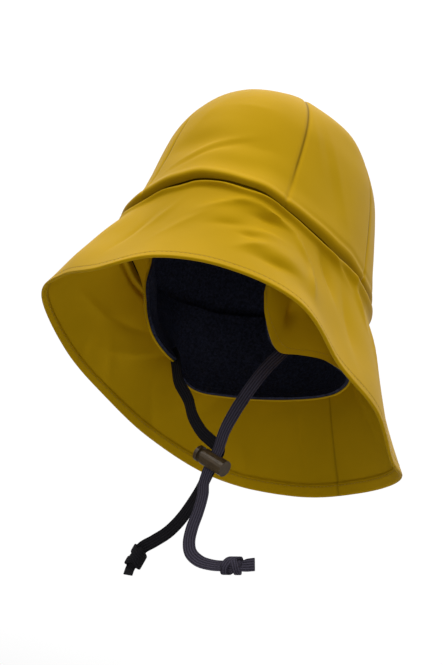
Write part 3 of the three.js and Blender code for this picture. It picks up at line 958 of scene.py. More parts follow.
    def skin(self, angle: np.ndarray, up: np.ndarray) -> np.ndarray:
        """Outer face of the worn crown: the crown's form with its lip drawn in at the seam."""
        lips = column(self.lips, "up")
        full = smooth(column(self.fullness, "angle"), column(self.fullness, "share"), angle, FULL_TURN)
        extra = full * smooth(lips, column(self.lips, "full"), up)
        extra = extra + (1 - full) * smooth(lips, column(self.lips, "flat"), up)
        return self.crown(angle, up) + outward(angle + 0 * up) * (extra * self.half_width)[..., None]

    def crown(self, angle: np.ndarray, up: np.ndarray) -> np.ndarray:
        """Outer face of the crown: the profile's radius on an oval, over the seam's height."""
        angle, up = np.broadcast_arrays(angle, up)
        roll = np.maximum(0, 1 - up / self.roll_height) ** 2
        share = smooth(column(self.profile, "height"), column(self.profile, "radius"), up)
        share = share * (1 + (self.section(angle, "base") - 1) * roll)
        dent = dent_depth(self.crown_dents, angle, up) * self.dent_depth * np.minimum(1, share * 4)
        a = np.radians(angle)
        return np.stack(
            [
                (self.half_width * share - dent) * np.sin(a),
                -(self.half_length * share - dent) * np.cos(a) - self.crown_lean * up,
                self.crown_height * up + self.seam_height(angle) * (1 - up),
            ],
            -1,
        )

    def seam(self, angle: np.ndarray, inset: float, rise: np.ndarray) -> np.ndarray:
        """Place on the seam line, moved in by inset and up by rise."""
        base = self.section(angle, "base")
        inset = inset + smooth(column(self.tucks, "angle"), column(self.tucks, "inset"), angle, FULL_TURN)
        a = np.radians(angle)
        return np.stack(
            [
                (self.half_width * base - inset) * np.sin(a),
                -(self.half_length * base - inset) * np.cos(a),
                self.seam_height(angle) + rise,
            ],
            -1,
        )

    def brim(self, angle: np.ndarray, up: np.ndarray) -> np.ndarray:
        """Outer face of the brim: straight from rim to seam less a bow, then the upright neck."""
        angle, up = np.broadcast_arrays(angle, up)
        inset = self.cloth + self.clearance
        share = np.minimum(up / self.neck_foot, 1)
        away = outward(angle)
        rim = away * (self.brim_reach * self.section(angle, "reach"))[..., None]
        rim[..., 2] = -self.brim_drop * self.section(angle, "drop")
        foot = self.seam(angle, inset, np.full(angle.shape, -self.clearance))
        dent = dent_depth(self.brim_dents, angle, share) * self.dent_depth
        depth = (self.belly_depth * self.section(angle, "belly") + dent) * 4 * share * (1 - share)
        slope = rim + (foot - rim) * share[..., None] - away * depth[..., None]
        rise = self.brim_tuck * np.maximum(up - self.neck_foot, 0) / (1 - self.neck_foot)
        slope[..., 2] += rise
        return slope

    def flap(self, angle: np.ndarray, up: np.ndarray) -> np.ndarray:
        """Outer face of the flap: straight from its lower edge to its top, plus a bow."""
        angle, up = np.broadcast_arrays(angle, up)
        angles = column(self.flap_edge, "angle")
        inset = 2 * self.cloth + 3 * self.clearance
        lower = np.stack(
            [
                self.half_width * smooth(angles, column(self.flap_edge, "across"), angle),
                self.half_length * smooth(angles, column(self.flap_edge, "along"), angle),
                -self.flap_drop * smooth(angles, column(self.flap_edge, "drop"), angle),
            ],
            -1,
        )
        lean = -self.near_lean * np.clip((60 - angle) / 18, 0, 1) ** 2
        top = self.seam(angle + lean, inset, np.full(angle.shape, self.brim_tuck + self.clearance))
        bow = up * (1 - up) ** 2 / (self.bow_place * (1 - self.bow_place) ** 2)
        pull = self.front_pull * np.clip((angle - 280) / 22, 0, 1) * np.sin(np.pi * up**1.3)
        return lower + (top - lower) * up[..., None] + outward(angle) * (self.flap_bow * bow - pull)[..., None]


# Sub-assemblies


@dataclass
class Finishes:
    """The materials of the hat, made once."""

    cloth: bpy.types.Material = field(default_factory=lambda: CoatedCloth().build())
    fleece: bpy.types.Material = field(default_factory=lambda: Fleece().build())
    webbing: bpy.types.Material = field(default_factory=lambda: Webbing().build())
    # Darker copy of the webbing for the right strap: painted shade, as that strap hangs in the hat's shadow
    webbing_shaded: bpy.types.Material = field(
        default_factory=lambda: Webbing("webbing_painted_shade", "#08070A", "#17151A").build()
    )
    plastic: bpy.types.Material = field(default_factory=lambda: MouldedPlastic().build())
    thread: bpy.types.Material = field(default_factory=lambda: SewingThread().build())
    dark_thread: bpy.types.Material = field(
        default_factory=lambda: SewingThread("thread_navy", "#05060C", "#141626").build()
    )


def dress(thing: bpy.types.Object, material: bpy.types.Material, slot: str, *nodes: str, body: str = "root") -> None:
    """Gives a piece its material, its body and the nodes that it stands for.

    Args:
        thing: The piece.
        material: Its finish.
        slot: The record's material slot. Not used.
        nodes: CAD nodes that it replaces.
        body: CAD body that it rides on.
    """
    thing.data.materials.clear()
    thing.data.materials.append(material)
    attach(thing, body)
    if nodes:
        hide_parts(*nodes)
    log.info("%s: %d faces", thing.name, len(thing.data.polygons))


@dataclass
class Crown:
    """Six gores seamed from the base to the top, with their edges turned in at each seam."""

    form: HatForm
    finishes: Finishes
    seams: tuple[tuple[str, float], ...] = (
        ("front", -31.0),
        ("front_left", 40.7),
        ("back_left", 93.2),
        ("back", 149),
        ("back_right", 217),
        ("front_right", 273),
    )
    columns: int = 56
    rows: int = 120
    seam_depth: float = 0.0010
    seam_width: float = 0.0016
    seam_bend: float = 3.0
    tip: float = 0.9985
    lip_shade: float = 0.6
    lip_end: float = 0.036
    folds: tuple[Fold, ...] = (
        Fold(0, 0.26, 29, 0.026, 0.0035, 0.0010),
        Fold(1, 0.225, 29, 0.024, 0.0030, -0.0011),
        Fold(350, 0.55, 62, 0.020, 0.006, 0.0005),
        Fold(14, 0.60, 2, 0.016, 0.004, 0.0004),
        Fold(22, 0.30, 4, 0.020, 0.007, -0.0005),
        Fold(58, 0.45, -70, 0.030, 0.005, -0.0005),
        Fold(66, 0.40, -68, 0.034, 0.004, 0.0005),
        Fold(50, 0.55, -75, 0.018, 0.004, 0.0004),
        Fold(118, 0.35, 75, 0.030, 0.007, -0.0007),
        Fold(180, 0.25, 12, 0.030, 0.007, -0.0007),
        Fold(205, 0.4, -60, 0.026, 0.006, 0.0006),
        Fold(250, 0.3, 25, 0.026, 0.006, -0.0007),
        Fold(300, 0.22, 20, 0.026, 0.006, -0.0007),
    )

    def build(self) -> None:
        """Builds and dresses the gores."""
        for k, (name, start) in enumerate(self.seams):
            end = self.seams[(k + 1) % len(self.seams)][1] + (FULL_TURN if k + 1 == len(self.seams) else 0)
            self.gore(name, start, end)

    def gore(self, name: str, start: float, end: float) -> None:
        """Builds one gore. Its outer face sinks at the seams by a bell of the distance to them.

        Args:
            name: Part of the node's name.
            start: Angle of the seam that it starts at.
            end: Angle of the next seam.
        """
        ease = np.linspace(-1, 1, self.columns + 1)
        share = (np.sign(ease) * (1 - (1 - np.abs(ease)) ** 1.35))[:, None]
        up = (self.tip * (1 - (1 - np.linspace(0, 1, self.rows + 1)) ** 1.15))[None, :]
        radius = smooth(column(self.form.profile, "height"), column(self.form.profile, "radius"), up)
        radius = np.maximum(radius, 0.01) * self.form.half_width
        half = (end - start) / 2
        angle = (start + end) / 2 + share * half + self.seam_bend * up**2 * (1 - up) / 0.148
        outer = self.form.skin(angle, up)
        normal = face_normals(outer, Wall.STRIP)
        edge = (1 - np.abs(share)) * np.radians(half) * radius
        sink = self.seam_depth * np.exp(-((edge / self.seam_width) ** 2)) * np.clip((1 - up) * 20, 0, 1)
        lift = fold_height(self.folds, angle, up + 0 * angle, 0.6, 0.16)
        lift += ripple(angle, up * 3, 5, 0.0003) * np.clip((1 - up) * 5, 0, 1)
        inner = outer - normal * self.form.cloth
        outer = outer + normal * (np.maximum(lift, -0.0008) - sink)[..., None]
        # Painted shade: darker along the seams, fading out towards the lip, and in a band at the foot of the gore
        # under the lip
        shade = 0.68 * np.exp(-((edge / 0.0008) ** 2)) * np.clip(up * 5 - 0.6, 0, 1)
        shade = np.maximum(shade, self.lip_shade * np.clip(1 - up / self.lip_end, 0, 1))
        thing = wall_object(f"gore_{name}", outer, inner, Wall.STRIP, shade)
        dress(thing, self.finishes.cloth, "coated_cloth", f"crown_gore_{name}")


@dataclass
class CrownLining:
    """Fleece cap inside the gores."""

    form: HatForm
    finishes: Finishes
    columns: int = 240
    rows: int = 70
    start: float = 0.045

    def build(self) -> None:
        """Builds and dresses the cap, a depth under the crown's outer face."""
        angle = np.linspace(0, FULL_TURN, self.columns, endpoint=False)[:, None]
        up = (self.start + (1 - self.start) * np.linspace(0, 1, self.rows + 1))[None, :]
        face = self.form.skin(angle, np.minimum(up, 0.9999))
        normal = face_normals(face, Wall.RING)
        normal[:, -1] = (0, 0, 1)
        face[:, -1] = face[:, -1].mean(0)
        depth = self.form.cloth + self.form.clearance
        outer = face - normal * depth
        inner = face - normal * (depth + self.form.fleece)
        outer[:, -1] = outer[:, -1].mean(0)
        inner[:, -1] = inner[:, -1].mean(0)
        thing = wall_object("crown_fleece", outer, inner, Wall.CAP)
        dress(thing, self.finishes.fleece, "fleece", "crown_lining")


@dataclass
class Brim:
    """One ring of coated cloth with a turned and stitched hem, seamed at the back."""

    form: HatForm
    finishes: Finishes
    columns: int = 520
    rows: int = 94
    hem_width: float = 0.008
    hem_cloth: float = 0.0026
    stitch_inset: float = 0.0066
    stitch_length: float = 0.0027
    stitch_gap: float = 0.0009
    thread: float = 0.00045
    girth: float = 0.85
    slant: float = 0.115
    seam_angle: float = 165.0
    ridges: tuple[Ridge, ...] = (
        Ridge(0, 0.0030, 0.0045),
        Ridge(12, 0.0034, 0.0042),
        Ridge(24, 0.0022, 0.0048),
        Ridge(36, 0.0034, 0.0040),
        Ridge(50, 0.0028, 0.0048),
        Ridge(66, 0.0034, 0.0046),
        Ridge(78, 0.0046, 0.0050),
        Ridge(92, 0.0056, 0.0068),
        Ridge(106, 0.0058, 0.0072),
        Ridge(140, 0.0022, 0.0050),
        Ridge(180, 0.0026, 0.0050),
        Ridge(220, 0.0022, 0.0050),
        Ridge(260, 0.0028, 0.0055),
        Ridge(290, 0.0022, 0.0050),
        Ridge(312, 0.0030, 0.0048),
        Ridge(326, 0.0020, 0.0050),
        Ridge(340, 0.0032, 0.0044),
        Ridge(352, 0.0026, 0.0050),
    )
    folds: tuple[Fold, ...] = (
        Fold(38, 0.8, -6, 0.017, 0.0032, 0.0022),
        Fold(16, 0.72, 30, 0.024, 0.0042, 0.0018),
        Fold(24, 0.8, 8, 0.016, 0.0036, 0.0013),
        Fold(34.5, 0.55, 16, 0.015, 0.0045, 0.0022),
        Fold(29.5, 0.36, 34, 0.013, 0.0045, 0.0019),
        Fold(50, 0.68, -50, 0.014, 0.0045, 0.0022),
        Fold(54.5, 0.43, -88, 0.016, 0.0050, 0.0024),
        Fold(72, 0.87, -20, 0.020, 0.0036, 0.0026),
        Fold(88, 0.78, -52, 0.018, 0.0042, 0.0029),
        Fold(100, 0.6, -75, 0.020, 0.0060, 0.0019),
        Fold(34, 0.72, 12, 0.013, 0.0045, -0.0026),
        Fold(20, 0.52, 20, 0.016, 0.0050, -0.0016),
        Fold(28, 0.46, 14, 0.010, 0.0040, -0.0019),
        Fold(38, 0.29, 12, 0.018, 0.0065, -0.0030),
        Fold(66, 0.72, -62, 0.020, 0.0065, -0.0026),
        Fold(78, 0.5, -80, 0.024, 0.0080, -0.0019),
        Fold(350, 0.6, 52, 0.020, 0.0050, 0.0011),
        Fold(340, 0.45, 60, 0.020, 0.0050, -0.0011),
        Fold(2, 0.45, 40, 0.022, 0.0050, 0.0010),
        Fold(150, 0.55, 60, 0.030, 0.0080, 0.0017),
        Fold(143, 0.45, 62, 0.030, 0.0070, -0.0017),
        Fold(178, 0.3, 80, 0.022, 0.0050, 0.0011),
        Fold(205, 0.55, -50, 0.030, 0.0080, 0.0019),
        Fold(215, 0.45, -48, 0.030, 0.0080, -0.0017),
        Fold(240, 0.5, -35, 0.026, 0.0070, 0.0018),
        Fold(250, 0.4, -30, 0.026, 0.0070, -0.0018),
        Fold(262, 0.55, -20, 0.024, 0.0070, 0.0017),
        Fold(275, 0.45, -15, 0.024, 0.0070, -0.0017),
        Fold(266, 0.12, 62, 0.014, 0.0045, 0.0015),
        Fold(256, 0.22, 48, 0.020, 0.0060, -0.0016),
        Fold(230, 0.14, 55, 0.018, 0.0055, 0.0015),
        Fold(196, 0.13, 70, 0.016, 0.0055, -0.0014),
    )

    def hem_share(self) -> float:
        """Share of the way up the brim at which the hem ends."""
        return self.hem_width / self.slant

    def faces(self, angle: np.ndarray, up: np.ndarray) -> tuple[np.ndarray, np.ndarray]:
        """Outer and inner face: the form, with folds, a sunk stitch line and the hem's step.

        Args:
            angle: Column angles.
            up: Row shares.

        Returns:
            Outer and inner grids.
        """
        face = self.form.brim(angle, up)
        normal = face_normals(face, Wall.RING)
        free = np.clip((self.form.neck_foot - up) * 16, 0, 1)
        lift = fold_height(self.folds, angle, up, self.girth, self.slant)
        lift += ripple(angle, up * 3, 11, 0.0006)
        place = column(self.ridges, "angle")
        height = smooth(place, column(self.ridges, "height"), angle, FULL_TURN)
        below = smooth(place, column(self.ridges, "below"), angle, FULL_TURN)
        from_foot = (self.form.neck_foot - up) / self.form.neck_foot * self.slant
        bulge = height * np.exp(-(((from_foot - below) / (0.75 * below)) ** 2)) * np.clip(from_foot / 0.002, 0, 1)
        lift = lift + bulge / np.maximum(free, 0.05)
        stitch = np.exp(-(((up * self.slant - self.stitch_inset) / 0.0006) ** 2)) * 0.00018
        round_edge = 0.0008 * np.clip(1 - up * self.slant / 0.0012, 0, 1) ** 2
        seam = np.exp(-((aside(angle, self.seam_angle) / 0.45) ** 2)) * 0.0008
        outer = face + normal * (lift * free - stitch - round_edge - seam * free)[..., None]
        step = 1 / (1 + np.exp((up * self.slant - self.hem_width) / 0.00025))
        thickness = self.form.cloth + (self.hem_cloth - self.form.cloth) * step
        inner = face + normal * (lift * free * 0.9 - thickness + stitch + round_edge + seam * free * 0.9)[..., None]
        return outer, inner

    def build(self) -> None:
        """Builds the brim and both rows of its topstitching."""
        angle = np.linspace(0, FULL_TURN, self.columns, endpoint=False)[:, None]
        hem = self.hem_share()
        up = np.concatenate(
            [
                np.linspace(0, 1.3 * hem, 26, endpoint=False),
                np.linspace(1.3 * hem, 0.84, self.rows - 54, endpoint=False),
                np.linspace(0.84, self.form.neck_foot, 22, endpoint=False),
                np.linspace(self.form.neck_foot, 1, 6),
            ]
        )[None, :]
        outer, inner = self.faces(angle, up)
        # Painted shade: darker along the sunk stitch line, at the back seam and on the brim's top under the crown's
        # lip
        stitch_line_shade = np.exp(-(((up * self.slant - self.stitch_inset) / 0.0006) ** 2)) * 0.22
        back_seam_shade = np.exp(-((aside(angle, self.seam_angle) / 0.3) ** 2)) * 0.7
        under_lip_shade = 0.45 * np.clip((up - 0.915) / 0.025, 0, 1)
        shade = np.maximum(np.maximum(stitch_line_shade, back_seam_shade), under_lip_shade)
        thing = wall_object("brim_cloth", outer, inner, Wall.RING, shade)
        dress(thing, self.finishes.cloth, "coated_cloth", "brim")
        row = int(np.argmin(np.abs(up[0] * self.slant - self.stitch_inset)))
        for name, face, sign in (("hem_stitches_outer", outer, 1), ("hem_stitches_inner", inner, -1)):
            normal = face_normals(face, Wall.RING)[:, row] * sign
            line = np.append(face[:, row], face[:1, row], 0)
            stitches = stitch_row(name, line, np.append(normal, normal[:1], 0), self.stitch_length,
                                  self.stitch_gap, self.thread)
            dress(stitches, self.finishes.thread, "coated_cloth")


@dataclass
class NeckFlap:
    """Ear and neck flap, open at the front: coated shell outside, fleece inside."""

    form: HatForm
    finishes: Finishes
    columns: int = 300
    rows: int = 64
    stitch_inset: float = 0.006
    stitch_length: float = 0.0026
    stitch_gap: float = 0.0009
    thread: float = 0.0004

    def build(self) -> None:
        """Builds the shell, the lining and the row of sewing along their edge."""
        first, last = self.form.flap_edge[0].angle, self.form.flap_edge[-1].angle
        angle = np.linspace(first, last, self.columns + 1)[:, None]
        up = np.linspace(0, 1, self.rows + 1)[None, :] ** 1.1
        face = self.form.flap(angle, up)
        normal = face_normals(face, Wall.STRIP)
        free = np.clip(up * 6, 0, 1) * np.clip((1 - up) * 8, 0, 1)
        wave = ripple(angle, up * 2, 23, 0.0007) * free
        dimple = 0.006 * np.exp(-((angle - 67) / 6) ** 2 - ((up - 0.32) / 0.11) ** 2)
        face = face + normal * (wave - dimple)[..., None]
        normal = face_normals(face, Wall.STRIP)
        cloth = self.form.cloth
        shell = wall_object("flap_cloth", face, face - normal * cloth, Wall.STRIP)
        dress(shell, self.finishes.cloth, "coated_cloth", "flap_shell")
        depth = cloth + self.form.clearance
        nap = face - normal * depth
        fleece = wall_object("flap_fleece", nap, nap - normal * self.form.fleece, Wall.STRIP)
        dress(fleece, self.finishes.fleece, "fleece", "flap_lining")
        self.sewing(face, normal, depth + self.form.fleece)

    def sewing(self, face: np.ndarray, normal: np.ndarray, depth: float) -> None:
        """Sews along the front edges and the lower edge, on both faces.

        Args:
            face: Outer grid of the shell.
            normal: Its normals.
            depth: From the outer face to the fleece's inner face.
        """
        from_edge = np.linalg.norm(np.diff(face, axis=0), axis=-1)
        start = np.argmax(np.cumsum(from_edge, 0) > self.stitch_inset, axis=0)
        end = self.columns - np.argmax(np.cumsum(from_edge[::-1], 0) > self.stitch_inset, axis=0)
        rise = np.cumsum(np.linalg.norm(np.diff(face, axis=1), axis=-1), 1)
        low = np.argmax(rise > self.stitch_inset, axis=1)
        corner = int(low[start[6]])
        first = [(start[j], j) for j in range(self.rows - 2, corner, -1)]
        middle = [(i, low[i]) for i in range(int(start[corner]), int(end[corner]) + 1)]
        final = [(end[j], j) for j in range(corner, self.rows - 2)]
        index = np.array(first + middle + final)
        line = face[index[:, 0], index[:, 1]]
        normals = normal[index[:, 0], index[:, 1]]
        for name, shift, sign, thread in (
            ("flap_stitches_outer", 0.0, 1, self.finishes.thread),
            ("flap_stitches_inner", -depth, -1, self.finishes.dark_thread),
        ):
            row = stitch_row(name, line + normals * shift, normals * sign, self.stitch_length,
                             self.stitch_gap, self.thread)
            dress(row, thread, "coated_cloth" if sign > 0 else "fleece")


@dataclass
class ChinStrap:
    """Two elastic webbing straps through the cord lock, each knotted near its end."""

    finishes: Finishes
    width: float = 0.009
    thickness: float = 0.0015
    left: tuple[Stop, ...] = (
        Stop((46.5, -4.2, -64.5), (-0.75, 0.6, 0.1)),
        Stop((44.8, -6.4, -69.6), (-0.65, 0.75, 0.1)),
        Stop((41.6, -9.4, -77.4), (-0.5, 0.85, 0.1)),
        Stop((36.8, -12.6, -90), (-0.45, 0.88, 0.1)),
        Stop((30, -13, -106), (-0.35, 0.92, 0.15)),
        Stop((24.6, -12.9, -121), (-0.2, 0.95, 0.2)),
        Stop((20.3, -11, -133), (0.05, 0.95, 0.27)),
        Stop((16.8, -6.64, -145.55), (0.127, 0.951, 0.282)),
        Stop((14.85, -5.1, -149.9), (0.127, 0.951, 0.282)),
        Stop((13.3, -3.86, -153.35), (0.127, 0.951, 0.282)),
        Stop((11.75, -2.62, -156.8), (0.127, 0.951, 0.282)),
        Stop((10.2, -1.4, -160.3), (0.127, 0.951, 0.282)),
        Stop((10.4, -2.6, -170), (0.1, 1, 0.1)),
        Stop((13.6, -5.5, -179.4), (0.05, 1, 0)),
        Stop((14.9, -8, -193), (0.05, 1, 0)),
        Stop((14.1, -9, -205.4), (-0.1, 0.99, 0.1)),
        Stop((14.7, -9, -215.7), (-0.1, 0.98, 0.0)),
        Stop((18.7, -10, -223.5), (-0.05, 0.95, -0.15)),
        Stop((27.1, -11, -229), (0, 0.93, -0.3)),
        Stop((38, -12, -231.2), (0, 0.92, -0.35)),
        Stop((47.5, -12.8, -231.2), (0, 0.92, -0.35)),
        Stop((52.5, -13.1, -230.8), (0, 0.92, -0.35)),
    )
    right: tuple[Stop, ...] = (
        Stop((-48.2, 3.6, -65), (0.25, 0.9, 0.3)),
        Stop((-44.2, 3.4, -70.5), (0.2, 0.93, 0.25)),
        Stop((-40.5, 2.4, -78), (0.25, 0.94, 0.2)),
        Stop((-33.2, -0.6, -91.5), (0.3, 0.94, 0.1)),
        Stop((-20.7, -2, -105.8), (0.3, 0.95, 0.1)),
        Stop((-10.8, -5, -120.9), (0.25, 0.95, 0.2)),
        Stop((0.0, -5.4, -132.4), (0.18, 0.95, 0.25)),
        Stop((17, -4.92, -145.05), (0.127, 0.951, 0.282)),
        Stop((15.05, -3.38, -149.4), (0.127, 0.951, 0.282)),
        Stop((13.5, -2.14, -152.85), (0.127, 0.951, 0.282)),
        Stop((11.95, -0.9, -156.3), (0.127, 0.951, 0.282)),
        Stop((10.4, 0.35, -159.8), (0.127, 0.951, 0.282)),
        Stop((5.8, 3, -172.5), (0.15, 0.97, 0.2)),
        Stop((0.1, 6, -183.3), (0.05, 0.97, 0.2)),
        Stop((-6.4, 9, -193.3), (-0.1, 0.95, 0.28)),
        Stop((-15.5, 12, -202.8), (-0.2, 0.93, 0.32)),
        Stop((-25.8, 14, -209.8), (-0.2, 0.93, 0.32)),
        Stop((-34.3, 15, -215.5), (-0.2, 0.93, 0.32)),
        Stop((-37.6, 16, -221.5), (-0.1, 0.95, 0.28)),
    )
    knot_width: float = 0.0125
    knot_height: float = 0.0100
    knot_spans: dict[str, tuple[tuple[float, float, float], tuple[float, float, float]]] = field(
        default_factory=lambda: {
            "left": ((46.5, -12.8, -231.0), (61.3, -13.4, -229.9)),
            "right": ((-34.0, 15.0, -215.0), (-39.8, 16.9, -230.5)),
        }
    )
    knot_flat: dict[str, tuple[float, float, float]] = field(
        default_factory=lambda: {"left": (0.0, 0.92, -0.35), "right": (0.2, 0.96, 0.15)}
    )
    knot_turns: dict[str, tuple[tuple[float, float, float, float, float], ...]] = field(
        default_factory=lambda: {
            "left": ((-2.2, 2.6, 200, 1.0, 5.4), (2.4, -2.8, 20, 1.0, 5.0), (0.6, 4.2, 110, 0.7, 4.2)),
            "right": ((-3.0, 2.4, 160, 1.0, 5.8), (2.6, -2.6, 40, 1.0, 5.2), (0.0, 4.4, 250, 0.7, 4.4)),
        }
    )
    left_end: tuple[Stop, ...] = (
        Stop((56.5, -13.2, -230.2), (0.1, 0.8, -0.6)),
        Stop((60.8, -13.4, -229.9), (0.1, 0.9, -0.3)),
        Stop((65.5, -13.8, -229.1), (0.1, 0.95, 0.1)),
        Stop((70.3, -14, -228.2), (0.1, 0.95, 0.2)),
    )
    right_end: tuple[Stop, ...] = (
        Stop((-38.8, 16.6, -226), (0.3, 0.92, 0.2)),
        Stop((-40.4, 17, -230.5), (0.3, 0.92, 0.2)),
        Stop((-41.0, 17.3, -235.5), (0.3, 0.92, 0.2)),
    )

    def build(self) -> None:
        lock = [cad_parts["cordlock_barrel"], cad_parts["cordlock_plunger"]]
        for side, route, end, on_it in (
            ("left", self.left, self.left_end, lock),
            ("right", self.right, self.right_end, []),
        ):
            # The right strap, its end and its knot take the darker webbing copy: painted shade for the strap in the
            # hat's shadow
            finish = self.finishes.webbing if side == "left" else self.finishes.webbing_shaded
            strap = self.band(f"webbing_{side}", route, 420)
            dress(strap, finish, "webbing", f"strap_{side}")
            tail = self.band(f"webbing_end_{side}", end, 24)
            dress(tail, finish, "webbing", f"strap_end_{side}")
            knot = self.knot(side)
            dress(knot, finish, "webbing", f"strap_knot_{side}")
            Path(route).length()
            log.info("strap %s: %.3f m", side, Path(route).length())

    def band(self, name: str, route: tuple[Stop, ...], steps: int) -> bpy.types.Object:
        """Builds one stretch of webbing of even width."""
        line, facing = Path(route).line(steps)
        width = np.full(steps + 1, self.width)
        return band_object(name, line, facing, width, np.full(steps + 1, self.thickness))

    def knot(self, side: str) -> bpy.types.Object:
        """Builds a knot: a lump with the webbing wound over it, each turn an ellipse round the
        strap's line that slants across it and dives into the lump at both ends.

        Args:
            side: Which strap it ends.

        Returns:
            The new piece.
        """
        start, end = (np.array(p) * MM for p in self.knot_spans[side])
        along = unit(end - start)
        flat = np.array(self.knot_flat[side])
        flat = unit(flat - (flat @ along) * along)
        wide = np.cross(along, flat)
        middle = (start + end) / 2
        half = np.array([np.linalg.norm(end - start) / 2, self.knot_width / 2, self.knot_height / 2])
        turn = np.linspace(0, 2 * np.pi, 48, endpoint=False)[:, None]
        tilt = np.linspace(-np.pi / 2, np.pi / 2, 32)[None, :]
        bulge = 1 + 0.07 * np.cos(3 * turn + 4 * tilt) * np.cos(tilt)
        ball = np.stack([np.sin(tilt) + 0 * turn, np.cos(tilt) * np.cos(turn) * bulge,
                         np.cos(tilt) * np.sin(turn) * bulge], -1)
        frame_axes = np.stack([along, wide, flat])
        points = middle + (ball * half * [0.98, 0.9, 0.86]) @ frame_axes
        face = grid_faces(48, 32, True)
        where = np.stack([turn + 0 * tilt, tilt + 0 * turn], -1).reshape(-1, 2) * half[1]
        pieces = [make_object(f"knot_{side}", points.reshape(-1, 3), [face], [where[face]])]
        for number, (shift, slant, begin, turns, width) in enumerate(self.knot_turns[side]):
            t = np.linspace(0, 1, 90)
            phi = np.radians(begin) + 2 * np.pi * turns * t
            dive = np.minimum(1, np.minimum(t, 1 - t) / 0.10)
            grow = 0.55 + 0.35 * dive
            local = np.stack([shift * MM + slant * MM * np.cos(phi), half[1] * grow * np.cos(phi),
                              half[2] * grow * np.sin(phi)], -1)
            radial = np.stack([0 * phi, np.cos(phi) / half[1], np.sin(phi) / half[2]], -1)
            line = middle + local @ frame_axes
            facing = unit(radial @ frame_axes)
            tangent = unit(np.gradient(line, axis=0))
            facing = unit(facing - (facing * tangent).sum(-1, keepdims=True) * tangent)
            pieces.append(band_object(f"turn_{side}_{number}", line, facing, np.full(90, width * MM),
                                      np.full(90, 0.0021), sides=20))
        join(pieces)
        outwards(pieces[0])
        return pieces[0]


@dataclass
class CordLock:
    """Barrel and sprung plunger of the cord lock: CAD pieces with a better finish."""

    finishes: Finishes

    def build(self) -> None:
        """Gives both CAD pieces the moulded plastic."""
        for node in ("cordlock_barrel", "cordlock_plunger"):
            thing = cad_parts[node]
            thing.data.materials.clear()
            thing.data.materials.append(self.finishes.plastic)
            log.info("%s: plastic", node)


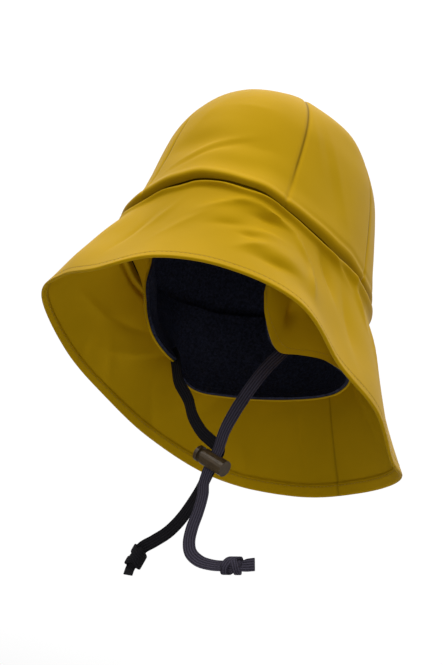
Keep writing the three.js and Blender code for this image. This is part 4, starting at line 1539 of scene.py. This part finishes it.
@dataclass
class Studio:
    """Camera at the photograph's angle, pale floor and backdrop, and soft lights."""

    azimuth: float = 29.57
    elevation: float = -25.15
    roll: float = 15.15
    distance: float = 1.352
    metres_per_pixel: float = 0.0007443
    origin_px: tuple[float, float] = (249.2, 273.3)
    floor_drop: float = 0.95
    floor_half: float = 0.8
    sky_strength: float = 1.04
    sky: tuple[tuple[float, float], ...] = ((-1.0, 0.03), (-0.45, 0.07), (-0.1, 0.26), (0.1, 0.73), (0.22, 0.97), (0.5, 1.0), (1.0, 2.3))
    lamps: tuple[tuple[str, tuple[float, float, float], float, float], ...] = (
        ("key", (-0.5, -1.2, 1.2), 1.1, 13.0),
        ("fill", (0.9, -0.7, -0.75), 0.8, 1.6),
    )

    def camera(self) -> None:
        """Places the camera. The object leans clockwise in the picture, so the camera rolls."""
        a, e, r = np.radians([self.azimuth, self.elevation, self.roll])
        back = np.array([np.sin(a) * np.cos(e), -np.cos(a) * np.cos(e), np.sin(e)])
        level = np.array([np.cos(a), np.sin(a), 0.0])
        upright = np.cross(back, level)
        right = np.cos(r) * level + np.sin(r) * upright
        top = -np.sin(r) * level + np.cos(r) * upright
        data = bpy.data.cameras.new("camera")
        data.sensor_width = SENSOR_MM
        data.lens = self.distance / self.metres_per_pixel * SENSOR_MM / IMAGE_HEIGHT
        data.shift_x = (IMAGE_WIDTH / 2 - self.origin_px[0]) / IMAGE_HEIGHT
        data.shift_y = (self.origin_px[1] - IMAGE_HEIGHT / 2) / IMAGE_HEIGHT
        data.clip_end = 50.0
        thing = bpy.data.objects.new("camera", data)
        bpy.context.scene.collection.objects.link(thing)
        matrix = np.eye(4)
        matrix[:3, 0], matrix[:3, 1], matrix[:3, 2], matrix[:3, 3] = right, top, back, back * self.distance
        thing.matrix_world = Matrix(matrix.tolist())
        bpy.context.scene.camera = thing

    def lights(self) -> None:
        """Adds the soft lights and the white surroundings."""
        world = bpy.data.worlds.new("world")
        bpy.context.scene.world = world
        world.use_nodes = True
        tree = world.node_tree
        place = tree.nodes.new("ShaderNodeTexCoord")
        split = tree.nodes.new("ShaderNodeSeparateXYZ")
        share = tree.nodes.new("ShaderNodeMapRange")
        share.inputs["From Min"].default_value = -1.0
        ramp = tree.nodes.new("ShaderNodeValToRGB")
        elements = ramp.color_ramp.elements
        while len(elements) < len(self.sky):
            elements.new(0.5)
        for element, (height, level) in zip(elements, self.sky):
            element.position = (height + 1) / 2
            element.color = (level, level, level, 1)
        tree.links.new(place.outputs["Generated"], split.inputs["Vector"])
        tree.links.new(split.outputs["Z"], share.inputs["Value"])
        tree.links.new(share.outputs["Result"], ramp.inputs["Fac"])
        tree.links.new(ramp.outputs["Color"], tree.nodes["Background"].inputs["Color"])
        tree.nodes["Background"].inputs["Strength"].default_value = self.sky_strength
        for name, place, size, power in self.lamps:
            data = bpy.data.lights.new(name, "AREA")
            data.size = size
            data.energy = power
            thing = bpy.data.objects.new(name, data)
            bpy.context.scene.collection.objects.link(thing)
            aim = unit(np.array(place))
            side = unit(np.cross([0.0, 0.0, 1.0], aim))
            matrix = np.eye(4)
            matrix[:3, 0], matrix[:3, 1], matrix[:3, 2], matrix[:3, 3] = side, np.cross(aim, side), aim, place
            thing.matrix_world = Matrix(matrix.tolist())

    def floor(self) -> None:
        """Adds the pale floor, far below the hat."""
        half = self.floor_half
        corners = np.array([[-half, -half, 0], [half, -half, 0], [half, half, 0], [-half, half, 0]])
        corners[:, 2] = -self.floor_drop
        thing = make_object("floor", corners, [np.array([[0, 1, 2, 3]])])
        nodes = Nodes("floor")
        nodes.set(Base_Color=linear("#B8B8B8"), Roughness=0.9)
        thing.data.materials.append(nodes.material)

    def build(self) -> None:
        """Builds the studio."""
        self.camera()
        self.lights()
        self.floor()
        bpy.context.scene.view_settings.view_transform = "Standard"


def main() -> None:
    """Builds the studio and the hat."""
    logging.basicConfig(level=logging.INFO, format="%(name)s %(message)s")
    form = HatForm()
    finishes = Finishes()
    Studio().build()
    for part in (
        ChinStrap(finishes),
        CordLock(finishes),
        Crown(form, finishes),
        CrownLining(form, finishes),
        Brim(form, finishes),
        NeckFlap(form, finishes),
    ):
        part.build()


if __name__ == "__main__":
    main()
